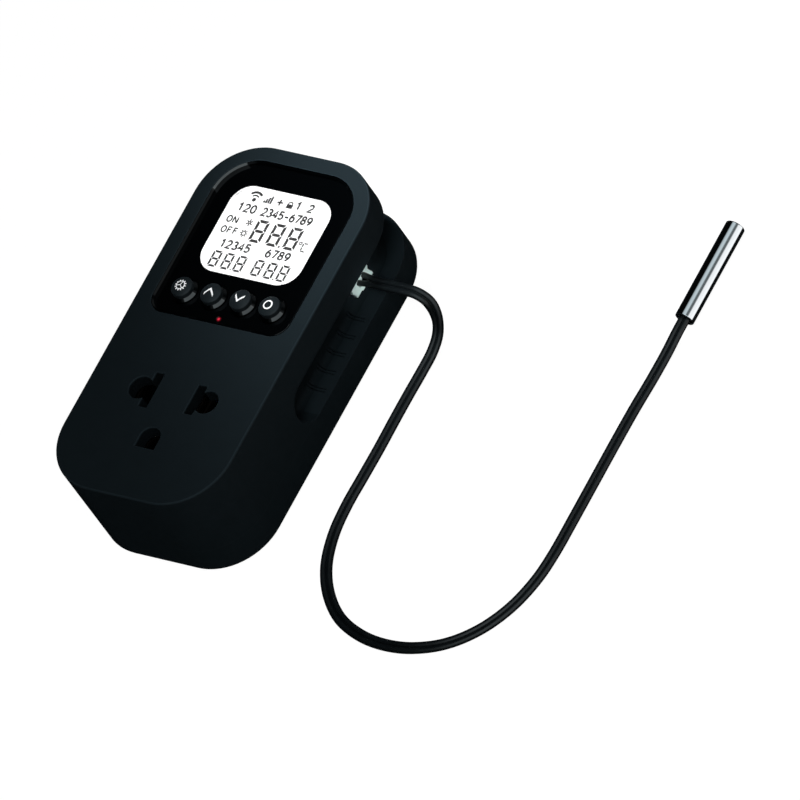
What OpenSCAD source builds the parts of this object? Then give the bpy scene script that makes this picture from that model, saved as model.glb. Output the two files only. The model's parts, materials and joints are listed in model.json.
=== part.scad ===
// Plug-in temperature controller with a pass-through socket and a sensor on a lead.
// x points to the sensor connector, y up to the display and z out of the front face.
// The origin lies midway between the plug blades, on the flat rear.

/* [Body] */
// Width of the body
body_w = 48.2; // [47.8:0.1:54]
// Height of the body, bottom edge to top edge
body_h = 95.4; // [94:0.1:106]
// Depth of the body, rear plane to front face
body_d = 28; // [27.8:0.1:31]
// Corner radius seen from the front
corner_r = 15; // [14:0.1:16]
// Rounding of the edge round the front face
front_round = 0.8; // [0.4:0.1:1.2]
// Rounding of the edge round the rear
rear_round = 1.4; // [0.6:0.1:1.4]
// Thickness of the side walls
wall_t = 2.6; // [2.4:0.1:3]
// Thickness of the front wall
face_t = 3.6; // [3.4:0.1:3.8]
// Height of the socket centre above the bottom edge
socket_up = 28.1; // [27:0.1:29]

/* [Grip groove] */
// Depth of the groove that runs round the upper half
groove_depth = 6.1; // [5.5:0.1:6.2]
// Width of the groove, along the body's depth
groove_w = 12.4; // [12:0.1:12.8]
// Height of the groove's rear ledge above the rear plane
groove_low = 8.3; // [8:0.1:8.6]
// Height of the centre of the groove's round lower end
groove_start = 13.7; // [12.5:0.1:16]
// Thickness of the wall behind the groove
waist_t = 2; // [1.6:0.1:2]
// Radius of the cove between the ledge and the groove's wall
cove_r = 2; // [1:0.1:2.4]
// Number of slots across the ledge, on each side
rib_count = 5; // [3:1:5]
// Distance from slot to slot
rib_pitch = 4.93; // [4.4:0.01:5.2]
// Height of the lowest slot
rib_start = 19.4; // [18.8:0.1:20.4]
// Width of a slot
rib_w = 0.9; // [0.6:0.1:1.4]
// Depth of a slot below the ledge
rib_deep = 0.5; // [0.3:0.1:0.8]
// How far a slot stops short of the body's side
rib_short = 1.4; // [1:0.1:2]

/* [Front panel] */
// Width of the glossy panel
panel_w = 39.6; // [38.8:0.1:40.4]
// Height of the panel's lower edge
panel_low = 19.9; // [19.5:0.1:20]
// Height of the panel's upper edge
panel_top = 63.5; // [62.5:0.1:64]
// Radius of the panel's upper corners
panel_top_r = 10.5; // [9:0.1:11]
// Radius of the panel's lower corners
panel_low_r = 4.3; // [3:0.1:5]
// How far the panel lies below the front face
panel_sunk = 1; // [0.8:0.1:1.2]
// Thickness of the panel
panel_t = 1.2; // [1:0.1:1.3]

/* [Display] */
// Width of the lit window
window_w = 28.5; // [27.5:0.1:29]
// Height of the lit window
window_h = 23.7; // [23:0.1:24.2]
// Height of the window's centre
window_y = 45.25; // [44.8:0.05:45.6]
// Corner radius of the window
window_r = 5.3; // [4:0.1:6]
// How far the lens stands above the panel
lens_proud = 0.2; // [0.1:0.05:0.4]
// How much larger the display glass is than its window, on each edge
glass_edge = 1; // [0.6:0.1:1]
// Thickness of the display glass
glass_t = 1.8; // [1.6:0.1:2]

/* [Keys] */
// Distance from key to key
key_pitch = 8.4; // [8.2:0.1:8.6]
// Height of the row of keys
key_y = 26.85; // [26.6:0.05:27]
// Radius of a key's barrel
key_r = 2.7; // [2.4:0.1:2.8]
// Radius of a key's foot in the panel's hole
key_foot_r = 3.3; // [3.1:0.1:3.3]
// Radius of the flange that keeps a key in
key_flange_r = 3.8; // [3.75:0.05:3.9]
// How far a key's rim stands above the front face
key_rim = 1; // [0.6:0.1:1.4]
// Rise of a key's domed top
key_dome = 0.7; // [0.4:0.1:1]
// Travel of a key
key_travel = 0.4; // [0.2:0.05:0.45]
// Radius of the indicator's light pipe
led_r = 0.6; // [0.5:0.05:0.7]
// Height of the indicator
led_y = 21.8; // [21.6:0.1:22]

/* [Socket] */
// Distance between the blade slots
slot_gap = 12.7; // [12.6:0.1:12.8]
// Width of the slots across the blades
slot_w = 2.4; // [2.2:0.1:2.6]
// Length of the neutral slot
neutral_slot = 9.4; // [9:0.1:9.6]
// Length of the live slot
live_slot = 7.9; // [7.6:0.1:8.2]
// Distance between the round pin holes
pin_gap = 19; // [18.8:0.1:19.2]
// Radius of the round pin holes
pin_hole_r = 3; // [2.9:0.05:3.1]
// How far the earth hole lies below the slots
earth_drop = 11.9; // [11.8:0.1:12]
// Half of the width of the earth hole
earth_hole_r = 2.75; // [2.7:0.05:2.8]
// How far the flat end of the earth hole lies below its centre
earth_hole_flat = 2.8; // [2.7:0.05:2.9]
// Thickness of the contact strip
leaf_t = 0.6; // [0.5:0.05:0.6]
// Width of the contact leaves
leaf_w = 6.4; // [6:0.1:6.8]
// Gap that grips a flat blade
blade_grip = 1.4; // [1.3:0.05:1.5]
// Gap that grips a round pin
pin_grip = 4.1; // [4.05:0.05:4.2]

/* [Plug] */
// Thickness of a blade
blade_t = 1.5; // [1.4:0.05:1.6]
// Width of a blade
blade_w = 6.35; // [6.2:0.05:6.5]
// Length of a blade outside the rear cover
blade_l = 17.5; // [15.5:0.1:18.3]
// Radius of the hole near a blade's tip
blade_hole_r = 1.8; // [1.6:0.1:2]
// Radius of the earth pin
earth_r = 2.4; // [2.35:0.01:2.42]
// Length of the earth pin outside the rear cover
earth_l = 20.6; // [19:0.1:21.4]

/* [Rear cover] */
// Thickness of the rear cover
cover_t = 2.2; // [2:0.1:2.4]
// Width of the housing's lip round the cover
cover_lip = 1.5; // [1.4:0.1:1.6]
// Height of the posts that carry the power board
post_h = 2.2; // [2:0.1:2.3]
// Outer radius of the screw bosses
boss_r = 2.8; // [2.6:0.1:3]
// Radius of the housing screws
screw_r = 1.2; // [1.1:0.05:1.3]
// Radius of the housing screws' heads
screw_head_r = 2.3; // [2.1:0.1:2.5]
// Length of the housing screws
screw_l = 10; // [8:0.5:11]

/* [Inner parts] */
// Thickness of the circuit boards
board_t = 1.6; // [1.2:0.1:1.6]
// Height of the relay's case
relay_h = 12.3; // [11:0.1:12.3]
// Length of the relay's case
relay_l = 28.5; // [26:0.1:29]
// Width of the relay's case
relay_w = 10.1; // [9:0.1:10.4]
// Width of the transformer's core
core_w = 13; // [12:0.1:13.4]
// Height of the transformer's core
core_h = 12; // [11:0.1:12.4]
// Radius of the smoothing capacitor
capacitor_r = 4; // [3:0.1:4.2]

/* [Sensor connector] */
// Height of the connector's centre
header_y = 45.8; // [45:0.1:46.5]
// Height of the connector's centre above the rear plane
header_z = 15.1; // [14.9:0.1:15.3]
// Width of the header
header_w = 7.5; // [7.3:0.1:7.7]
// Height of the header
header_h = 5.75; // [5.6:0.05:5.9]
// Length of the header, board to mouth
header_l = 7; // [6.8:0.1:7.2]
// Distance between the two contacts
contact_pitch = 2.5; // [2.4:0.05:2.54]
// How far the header stands out of the groove's wall
header_proud = 0.4; // [0.2:0.1:0.6]
// Length of the plug outside the header
plug_out = 2.6; // [2.2:0.1:3]

/* [Sensor lead] */
// Width of the flat cord
cord_w = 2.6; // [2.4:0.1:2.8]
// Thickness of the flat cord
cord_t = 1.3; // [1.2:0.1:1.3]
// Radius of the probe's sleeve
probe_r = 2.35; // [2.3:0.05:2.35]
// Length of the probe's sleeve
probe_l = 26; // [24:0.1:30]
// Wall of the probe's sleeve
probe_wall = 0.3; // [0.25:0.05:0.4]

/* [Fits] */
// Gap round a piece that is fitted by hand
fit_gap = 0.1; // [0.08:0.01:0.12]
// Gap round a key
key_gap = 0.2; // [0.15:0.01:0.2]
// Gap round a board
board_gap = 0.4; // [0.35:0.01:0.4]

/* [Hidden] */
$fn = 64;
// overrun of every cut past the face that it leaves
over = 1;

// planes and outlines that follow from the driving sizes
body_low = -socket_up;
body_top = body_h - socket_up;
body_mid = (body_low + body_top) / 2;
half_w = body_w / 2;
waist_half = half_w - groove_depth;
waist_in = groove_depth + waist_t;
cavity_half = half_w - waist_in;
cavity_top = body_top - waist_in;
groove_high = groove_low + groove_w;
groove_mid = groove_low + groove_w / 2;
groove_end_r = groove_w / 2;
face_in = body_d - face_t;
panel_z = body_d - panel_sunk;
panel_back = panel_z - panel_t;
corner_x = half_w - corner_r;
corner_low = body_low + corner_r;
corner_top = body_top - corner_r;
belly_top = groove_start - groove_end_r - waist_t;
diagonal_share = sqrt(0.5);

// screw bosses stand in the cavity's corners and bite into its wall
boss_bite = 0.5;
boss_low_step = (corner_r - wall_t - boss_r + boss_bite) * diagonal_share;
boss_top_step = (corner_r - waist_in - boss_r + boss_bite) * diagonal_share;
boss_low = [corner_x + boss_low_step, corner_low - boss_low_step];
boss_top = [corner_x + boss_top_step, corner_top + boss_top_step];
boss_top_end = 16.5;
screw_head_t = 1.3;
screw_sunk = 0.1;
screw_fit = 0.05;
screw_spare = 1;
drive_w = 0.6;
drive_l = 2.6;
drive_deep = 0.7;

// display stack, from the panel down to its board
lens_top = panel_z + lens_proud;
glass_low = panel_back - glass_t;
light_t = 2.8;
glass_w = window_w + 2 * glass_edge;
glass_h = window_h + 2 * glass_edge;
board_top = glass_low - light_t;
board_low = board_top - board_t;
board_edge_low = 18.4;
ledge_w = 12;
ledge_t = 1.6;
ledge_reach = 1.4;

// keys, their stems and the switches under them
key_count = 4;
key_flange_t = 0.7;
key_flange_top = face_in - fit_gap;
key_flange_low = key_flange_top - key_flange_t;
key_foot_share = 0.25;
key_foot_top = panel_z + key_foot_share * panel_sunk;
key_chamfer = 0.6;
key_rim_z = body_d + key_rim;
dome_r = (key_r * key_r + key_dome * key_dome) / (2 * key_dome);
stem_r = 1;
stem_fit = 0.06;
switch_w = 6;
switch_t = 1.5;
stem_in = 0.6;
stem_low = board_top + switch_t - stem_in;
stem_bore_low = stem_low - key_travel - fit_gap;
board_screw_x = key_pitch;
board_screw_y = 21.3;
board_boss_r = 2.1;
board_screw_r = 0.9;
board_head_r = 1.7;
board_head_t = 1.1;
board_screw_in = 2.6;

// indicator and the pipe that takes its light to the panel
led_size = [1.6, 0.8, 0.8];
pipe_flange_r = 1.1;
pipe_flange_t = 0.8;
pipe_fit = 0.05;

// radio and the pin row between the boards
radio_size = [15, 17, 0.8];
can_size = [12, 12, 2];
radio_at = [0.5, 48.5];
can_up = 1.5;
link_pins = 5;
link_pitch = 2.54;
link_w = 2.5;
link_t = 2.5;
link_pin_w = 0.64;
link_x_in = 2.6;
link_y = 44.6;

// power board and what stands on it
power_low = cover_t + post_h;
power_top = power_low + board_t;
power_edge_low = -16.9;
power_edge_top = 52;
post_r = 2.2;
post_in = 2.4;
post_high_y = 40;
post_low_y = 8.4;
relay_y = 8;
relay_x_in = 0.6;
relay_round = 0.6;
core_at = [8, 15];
core_t = 6;
core_leg = 1.75;
core_window = 3;
core_yoke = 2.2;
winding_gap = 0.2;
capacitor_h = 11.5;
capacitor_at = [9.8, 29.8];
capacitor_rim = 0.4;
film_size = [5, 11, 10];
film_at = [1.4, 31];
varistor_r = 3.5;
varistor_t = 2.6;
varistor_at = [7.6, 36.8];
fuse_r = 2.1;
fuse_h = 8;
fuse_at = [-1.8, 14.5];

// socket contacts and the carrier that holds them
slot_x = slot_gap / 2;
pin_x = pin_gap / 2;
carrier_t = 2.4;
carrier_top = power_top + carrier_t;
carrier_low_y = -16.4;
carrier_top_y = 5.4;
carrier_half = 14.4;
barrier_t = 1.2;
barrier_top = 21;
barrier_y = -6.6;
leaf_top = face_in - board_gap;
leaf_in = slot_x - blade_grip / 2 - leaf_t;
leaf_mid = slot_x + blade_grip / 2;
leaf_out = leaf_mid + leaf_t + pin_grip;
contact_tab_w = 3;
earth_grip_r = 2.45;
earth_leaf = 0.5;
earth_leg = 2.5;
earth_tab_w = 2;

// plug blades and earth pin where they pass the cover and the board
blade_top = power_top + 1;
blade_chamfer = 1;
blade_point_t = 0.4;
blade_hole_up = 4;
pin_block = [4.4, 9.4];
earth_block_r = 4.2;
earth_tail_r = 1.2;
earth_shank_in = 0.3;
earth_sink = 0.3;
earth_tip_r = 1.4;
earth_point_l = 2;

// sensor connector
riser_front = waist_half + header_proud - header_l;
riser_w = 11.6;
riser_top = 18.6;
header_front = waist_half + header_proud;
header_wall = 0.8;
header_floor = 1.2;
header_slot_w = 1;
pin_w = 0.64;
pin_tail = 1.2;
pin_reach = 5.6;
pin_fit = 0.05;
plug_fit = 0.12;
plug_core_gap = 0.2;
collar_gap = 0.2;
collar_w = 7.2;
collar_h = 5;
lug_w = 1.1;
lug_h = 0.5;
crimp_w = 1.3;
crimp_l = 5;
crimp_fit = 0.1;
plug_back = header_front + plug_out;
plug_tip = riser_front + header_floor + plug_core_gap;
plug_core_w = header_w - 2 * header_wall - 2 * plug_fit;
plug_core_h = header_h - 2 * header_wall - 2 * plug_fit;

// probe, which lies on the plane of the rear face
probe_x = 98.6;
probe_y = 60.3;
probe_round = 0.3;
seal_in = 0.5;
seal_l = 2.4;
bead_r = 1.1;
bead_in = 2;
wire_r = 0.25;
wire_gap = 1;

// route of the cord from the plug to the probe, on the plane that the part's rear lies in
cord_z = 0.65;
cord_route = [
    [plug_back, header_y, header_z],
    [25, 45.8, 15.1], [29, 45.9, 15.1], [33, 46, 15], [36.8, 46.1, 14.2],
    [39.1, 45.8, 11.5], [39.9, 44.4, 7.6], [39.7, 41.9, 4.2], [38.9, 38.2, 1.8],
    [38.2, 33, 0.9], [37.9, 27, cord_z], [37.8, 20, cord_z], [37.8, 12, cord_z], [37.8, 4, cord_z],
    [37.9, -4, cord_z], [38.8, -12, cord_z], [41.4, -20, cord_z], [46, -27, cord_z],
    [52.4, -32.4, cord_z], [60, -35.4, cord_z], [67.6, -36.3, cord_z], [75.2, -35.4, cord_z],
    [82.8, -32.4, cord_z], [89.2, -27, cord_z], [93.8, -20, cord_z], [96.4, -12, cord_z],
    [97.3, -4, cord_z], [97.4, 6, cord_z], [97.4, 16, cord_z], [97.4, 26, cord_z],
    [97.5, 36, cord_z], [97.8, 44, 0.8], [98.2, 51, 1.4], [98.5, 56.5, 2.2],
    [probe_x, probe_y + seal_in, probe_r]
];
cord_step_share = 0.5;
cord_sides = 8;

// Rectangle with four equal round corners, centred.
module rounded(w, h, r) {
    square([w - 2 * r, h], center = true);
    square([w, h - 2 * r], center = true);
    for (sx = [-1, 1], sy = [-1, 1])
        translate([sx * (w / 2 - r), sy * (h / 2 - r)]) circle(r);
}

// The body's outline, drawn in by a distance that keeps its corners concentric.
module body_outline(inset) {
    translate([0, body_mid]) rounded(body_w - 2 * inset, body_h - 2 * inset, corner_r - inset);
}

// The panel's outline, with its larger upper corners, drawn in by a distance.
module panel_outline(inset) {
    half = panel_w / 2 - inset;
    top_r = panel_top_r - inset;
    low_r = panel_low_r - inset;
    low = panel_low + inset;
    top = panel_top - inset;
    translate([-half, low + low_r]) square([2 * half, top - top_r - low - low_r]);
    translate([-half + low_r, low]) square([2 * (half - low_r), low_r]);
    translate([-half + top_r, top - top_r]) square([2 * (half - top_r), top_r]);
    for (s = [-1, 1]) {
        translate([s * (half - low_r), low + low_r]) circle(low_r);
        translate([s * (half - top_r), top - top_r]) circle(top_r);
    }
}

// Half section of a slab whose rim is rounded below and above, from the axis outwards.
module rim_section(reach, low, high, low_round, high_round) {
    translate([0, low + low_round]) square([reach, high - low - low_round - high_round]);
    translate([0, low]) square([reach - low_round, low_round]);
    translate([0, high - high_round]) square([reach - high_round, high_round]);
    translate([reach - low_round, low + low_round]) circle(low_round);
    translate([reach - high_round, high - high_round]) circle(high_round);
}

// The body as one block: two crossed runs and four turned corners that share one rim section.
module body_block() {
    translate([-corner_x, body_mid, 0]) rotate([90, 0, 90]) linear_extrude(2 * corner_x)
        for (s = [0, 1]) mirror([s, 0]) rim_section(body_h / 2, 0, body_d, rear_round, front_round);
    translate([0, corner_top, 0]) rotate([90, 0, 0]) linear_extrude(corner_top - corner_low)
        for (s = [0, 1]) mirror([s, 0]) rim_section(half_w, 0, body_d, rear_round, front_round);
    for (s = [-1, 1], y = [corner_low, corner_top]) translate([s * corner_x, y, 0])
        rotate_extrude() rim_section(corner_r, 0, body_d, rear_round, front_round);
}

// Everything outside the waist, from the groove's round lower ends up and over the top.
module groove_cut() {
    difference() {
        translate([-half_w - over, groove_start, groove_low])
            cube([body_w + 2 * over, body_top - groove_start + over, groove_w]);
        translate([0, 0, groove_low - over]) linear_extrude(groove_w + 2 * over)
            body_outline(groove_depth);
    }
    for (s = [-1, 1]) translate([s * waist_half, groove_start, groove_mid])
        rotate([0, s * 90, 0]) cylinder(r = groove_end_r, h = groove_depth + over);
}

// Section of the cove, with its corner on the axis of the waist's outline.
module cove_section() {
    difference() {
        square(cove_r);
        translate([cove_r, cove_r]) circle(cove_r);
    }
}

// Cove along both sides, round the corners and over the top.
module cove() {
    waist_corner = corner_r - groove_depth;
    run = corner_top - groove_start;
    for (s = [0, 1]) mirror([s, 0, 0]) {
        translate([waist_half, corner_top, groove_low]) rotate([90, 0, 0])
            linear_extrude(run) cove_section();
        translate([corner_x, corner_top, groove_low]) rotate_extrude(angle = 90)
            translate([waist_corner, 0]) cove_section();
    }
    translate([-corner_x, body_top - groove_depth, groove_low]) rotate([90, 0, 90])
        linear_extrude(2 * corner_x) cove_section();
}

// Slots across the ledge on both sides.
module ledge_slots() {
    for (s = [-1, 1], i = [0 : rib_count - 1])
        translate([s * (waist_half + half_w - rib_short) / 2, rib_start + i * rib_pitch,
                   groove_low - rib_deep + cove_r / 2])
            cube([half_w - rib_short - waist_half, rib_w, 2 * rib_deep + cove_r], center = true);
}

// Inside of the housing: the full belly below the groove, the waist, and the space behind it.
module cavity() {
    translate([0, 0, cover_t]) linear_extrude(face_in - cover_t) intersection() {
        body_outline(wall_t);
        translate([-half_w, body_low]) square([body_w, belly_top - body_low]);
    }
    translate([0, 0, cover_t]) linear_extrude(face_in - cover_t) body_outline(waist_in);
    translate([0, 0, cover_t]) linear_extrude(groove_low - waist_t - cover_t)
        body_outline(wall_t);
    translate([0, 0, -over]) linear_extrude(cover_t + over) body_outline(cover_lip);
}

// Openings of the socket: blade slots joined to round pin holes, and the arched earth hole.
module socket_holes() {
    for (s = [-1, 1]) {
        slot_l = s < 0 ? neutral_slot : live_slot;
        translate([s * slot_x - slot_w / 2, -slot_l / 2, face_in - over])
            cube([slot_w, slot_l, face_t + 2 * over]);
        translate([s * pin_x, 0, face_in - over])
            cylinder(r = pin_hole_r, h = face_t + 2 * over);
    }
    translate([0, -earth_drop, face_in - over]) linear_extrude(face_t + 2 * over) {
        circle(earth_hole_r);
        translate([-earth_hole_r, -earth_hole_flat]) square([2 * earth_hole_r, earth_hole_flat]);
    }
}

// The four places along the row of keys.
function key_x(i) = (i - (key_count - 1) / 2) * key_pitch;

// Openings below the panel for the display with its backlight, the keys and the light pipe.
module panel_holes() {
    translate([0, window_y, board_top]) linear_extrude(body_d - board_top)
        square([glass_w + 2 * fit_gap, glass_h + 2 * fit_gap], center = true);
    for (i = [0 : key_count - 1]) translate([key_x(i), key_y, key_flange_low - key_travel - fit_gap])
        cylinder(r = key_flange_r + key_gap, h = face_in - key_flange_low + key_travel + fit_gap);
    for (i = [0 : key_count - 1]) translate([key_x(i), key_y, face_in - over])
        cylinder(r = key_foot_r + key_gap, h = face_t);
    translate([0, led_y, face_in - over]) cylinder(r = led_r + pipe_fit, h = face_t);
}

module housing() {
    color("#14181c") difference() {
        union() {
            difference() {
                body_block();
                groove_cut();
                cavity();
            }
            cove();
            for (s = [-1, 1]) {
                translate([s * boss_low[0], boss_low[1], cover_t])
                    cylinder(r = boss_r, h = face_in - cover_t + over);
                translate([s * boss_top[0], boss_top[1], cover_t])
                    cylinder(r = boss_r, h = boss_top_end - cover_t);
                translate([s * board_screw_x, board_screw_y, board_top])
                    cylinder(r = board_boss_r, h = face_in - board_top + over);
            }
            translate([-ledge_w / 2, cavity_top - ledge_reach, board_low - ledge_t])
                cube([ledge_w, ledge_reach + over, ledge_t]);
        }
        ledge_slots();
        translate([0, 0, panel_back]) linear_extrude(face_t) panel_outline(0);
        panel_holes();
        socket_holes();
        translate([waist_half - waist_t - over, header_y, header_z]) rotate([90, 0, 90])
            linear_extrude(waist_t + 2 * over)
            square([header_w + 2 * fit_gap, header_h + 2 * fit_gap], center = true);
        for (s = [-1, 1]) {
            for (p = [boss_low, boss_top]) translate([s * p[0], p[1], cover_t - over])
                cylinder(r = screw_r + screw_fit, h = screw_l + screw_spare + over);
            translate([s * board_screw_x, board_screw_y, board_top - over])
                cylinder(r = board_screw_r + screw_fit, h = board_screw_in + over);
        }
    }
}

module rear_cover() {
    color("#15191d") difference() {
        union() {
            linear_extrude(cover_t) body_outline(cover_lip + fit_gap);
            for (s = [-1, 1]) {
                translate([s * slot_x - pin_block[0] / 2, -pin_block[1] / 2, 0])
                    cube([pin_block[0], pin_block[1], power_low]);
                for (y = [post_low_y, post_high_y])
                    translate([s * (cavity_half - post_in), y, 0]) cylinder(r = post_r, h = power_low);
            }
            translate([0, -earth_drop, 0]) cylinder(r = earth_block_r, h = power_low);
        }
        for (s = [-1, 1]) {
            translate([s * slot_x, 0, 0])
                cube([blade_t + 2 * pipe_fit, blade_w + 2 * pipe_fit, 2 * (power_low + over)],
                     center = true);
            for (p = [boss_low, boss_top]) translate([s * p[0], p[1], 0]) {
                translate([0, 0, -over]) cylinder(r = screw_r + fit_gap, h = cover_t + 2 * over);
                translate([0, 0, -over])
                    cylinder(r = screw_head_r + fit_gap, h = over + screw_sunk + screw_head_t);
            }
        }
        translate([0, -earth_drop, -over])
            cylinder(r = earth_r - earth_shank_in + pipe_fit, h = power_low + 2 * over);
        translate([0, -earth_drop, -over]) cylinder(r = earth_r + fit_gap, h = over + earth_sink);
    }
}

module fascia() {
    color("#020403") difference() {
        translate([0, 0, panel_back]) linear_extrude(panel_t) difference() {
            panel_outline(fit_gap);
            translate([0, window_y]) rounded(window_w, window_h, window_r);
            for (i = [0 : key_count - 1])
                translate([key_x(i), key_y]) circle(key_foot_r + key_gap);
            translate([0, led_y]) circle(led_r + pipe_fit);
        }
    }
}

module display_window() {
    color("#f4f6f6") translate([0, window_y, panel_back]) linear_extrude(lens_top - panel_back)
        rounded(window_w - 2 * pipe_fit, window_h - 2 * pipe_fit, window_r - pipe_fit);
}

module lcd_glass() {
    color("#dfe6e2") translate([0, window_y, glass_low + glass_t / 2])
        cube([glass_w, glass_h, glass_t], center = true);
}

module lcd_backlight() {
    color("#f2f2ee") translate([0, window_y, board_top + light_t / 2])
        cube([glass_w, glass_h, light_t], center = true);
}

module display_board() {
    color("#1f5a3a") translate([0, 0, board_low]) linear_extrude(board_t) difference() {
        intersection() {
            body_outline(waist_in + board_gap);
            translate([-half_w, board_edge_low]) square([body_w, body_top - board_edge_low]);
        }
        for (s = [-1, 1]) translate([s * board_screw_x, board_screw_y])
            circle(board_screw_r + fit_gap);
    }
}

// One key: flange, foot in the panel's hole, chamfer, barrel and domed top.
module key(i) {
    color("#16191c") translate([key_x(i), key_y, 0]) rotate_extrude() {
        polygon([
            [0, key_flange_low], [key_flange_r, key_flange_low],
            [key_flange_r, key_flange_top], [key_foot_r, key_flange_top],
            [key_foot_r, key_foot_top], [key_r, key_foot_top + key_chamfer],
            [key_r, key_rim_z], [0, key_rim_z]
        ]);
        intersection() {
            translate([0, key_rim_z + key_dome - dome_r]) circle(dome_r);
            translate([0, key_rim_z - key_dome]) square([key_r, 2 * key_dome]);
        }
    }
}

module settings_key() { key(0); }
module up_key() { key(1); }
module down_key() { key(2); }
module power_key() { key(3); }

// Stem of the switch under a key, which travels with it.
module stem(i) {
    color("#3a3a3a") translate([key_x(i), key_y, stem_low])
        cylinder(r = stem_r, h = key_flange_low - stem_low);
}

module settings_stem() { stem(0); }
module up_stem() { stem(1); }
module down_stem() { stem(2); }
module power_stem() { stem(3); }

module key_switches() {
    color("#b8babc") for (i = [0 : key_count - 1]) translate([key_x(i), key_y, 0]) difference() {
        translate([0, 0, board_top + switch_t / 2]) cube([switch_w, switch_w, switch_t], center = true);
        translate([0, 0, stem_bore_low]) cylinder(r = stem_r + stem_fit, h = switch_t + over);
    }
}

module indicator_led() {
    color("#d01818") translate([0, led_y, board_top + led_size[2] / 2]) cube(led_size, center = true);
}

module light_pipe() {
    color("#e02020") translate([0, led_y, 0]) {
        translate([0, 0, board_top + led_size[2] + pipe_fit])
            cylinder(r = led_r, h = panel_z - board_top - led_size[2] - pipe_fit);
        translate([0, 0, face_in - pipe_flange_t]) cylinder(r = pipe_flange_r, h = pipe_flange_t);
    }
}

module radio_module() {
    color("#6d7175") translate([radio_at[0], radio_at[1], board_low]) {
        translate([0, 0, -radio_size[2] / 2]) cube(radio_size, center = true);
        translate([0, -can_up, -radio_size[2] - can_size[2] / 2]) cube(can_size, center = true);
    }
}

// Row of square pins in two strips, from the power board up to the display board.
module board_link() {
    x = -(cavity_half - link_x_in);
    length = link_pins * link_pitch;
    color("#202326") {
        for (z = [power_top, board_low - link_t])
            translate([x - link_w / 2, link_y - length / 2, z]) cube([link_w, length, link_t]);
        for (i = [0 : link_pins - 1])
            translate([x - link_pin_w / 2, link_y + (i - (link_pins - 1) / 2) * link_pitch
                       - link_pin_w / 2, power_top])
                cube([link_pin_w, link_pin_w, board_low - power_top]);
    }
}

module power_board() {
    half = cavity_half - board_gap;
    color("#2a6a45") difference() {
        translate([-half, power_edge_low, power_low])
            cube([2 * half, power_edge_top - power_edge_low, board_t]);
        for (s = [-1, 1]) translate([s * slot_x, 0, power_low])
            cube([blade_t + 2 * fit_gap, blade_w + 2 * fit_gap, 2 * (board_t + over)], center = true);
        translate([0, -earth_drop, power_low - over])
            cylinder(r = earth_tail_r + fit_gap, h = board_t + 2 * over);
    }
}

module relay() {
    x = -(cavity_half - relay_x_in) + relay_w / 2;
    color("#1c3f86") translate([x, relay_y + relay_l / 2, power_top]) {
        linear_extrude(relay_h) rounded(relay_w, relay_l, relay_round);
    }
}

module transformer_core() {
    opening_h = core_h - 2 * core_yoke;
    window_x = core_w / 2 - core_leg - core_window / 2;
    color("#2c2c2e") translate([core_at[0], core_at[1], power_top + core_h / 2]) difference() {
        cube([core_w, core_t, core_h], center = true);
        for (s = [-1, 1]) translate([s * window_x, 0, 0])
            cube([core_window, core_t + 2 * over, opening_h], center = true);
    }
}

module transformer_winding() {
    leg = core_w - 2 * core_leg - 2 * core_window;
    color("#c9a227") translate([core_at[0], core_at[1], power_top + core_yoke + winding_gap])
        linear_extrude(core_h - 2 * core_yoke - 2 * winding_gap) difference() {
            circle(leg / 2 + core_window - winding_gap);
            square([leg + 2 * winding_gap, core_t + 2 * winding_gap], center = true);
        }
}

module smoothing_capacitor() {
    color("#1d2226") translate([capacitor_at[0], capacitor_at[1], power_top]) rotate_extrude()
        polygon([
            [0, 0], [capacitor_r - capacitor_rim, 0], [capacitor_r, capacitor_rim],
            [capacitor_r, capacitor_h - capacitor_rim],
            [capacitor_r - capacitor_rim, capacitor_h], [0, capacitor_h]
        ]);
}

module film_capacitor() {
    color("#c6a646") translate([film_at[0], film_at[1], power_top + film_size[2] / 2])
        cube(film_size, center = true);
}

module varistor() {
    color("#2f6fb0") translate([varistor_at[0], varistor_at[1] + varistor_t / 2,
                                power_top + varistor_r])
        rotate([90, 0, 0]) cylinder(r = varistor_r, h = varistor_t);
}

module fuse() {
    color("#6b4a2c") translate([fuse_at[0], fuse_at[1], power_top]) cylinder(r = fuse_r, h = fuse_h);
}

// Moulded tray between the power board and the contacts, with a wall between the poles.
module socket_carrier() {
    color("#d9d5c8") difference() {
        union() {
            translate([-carrier_half, carrier_low_y, power_top])
                cube([2 * carrier_half, carrier_top_y - carrier_low_y, carrier_t]);
            translate([-barrier_t / 2, barrier_y, power_top])
                cube([barrier_t, carrier_top_y - barrier_y, barrier_top - power_top]);
            translate([-carrier_half, barrier_y - barrier_t, power_top])
                cube([2 * carrier_half, barrier_t, barrier_top - power_top]);
        }
        for (s = [-1, 1]) {
            translate([s * slot_x, 0, power_top])
                cube([blade_t + 2 * board_gap, blade_w + 2 * board_gap, 2 * (carrier_t + over)],
                     center = true);
            translate([s * (leaf_out + leaf_t / 2), 0, power_top])
                cube([leaf_t + 2 * fit_gap, contact_tab_w + 2 * fit_gap, 2 * (carrier_t + over)],
                     center = true);
        }
        translate([0, -earth_drop, power_top - over])
            cylinder(r = earth_tail_r + board_gap, h = carrier_t + 2 * over);
        translate([0, -earth_drop + earth_grip_r + earth_leaf / 2, power_top])
            cube([earth_tab_w + 2 * fit_gap, earth_leaf + 2 * fit_gap, 2 * (carrier_t + over)],
                 center = true);
    }
}

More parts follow.
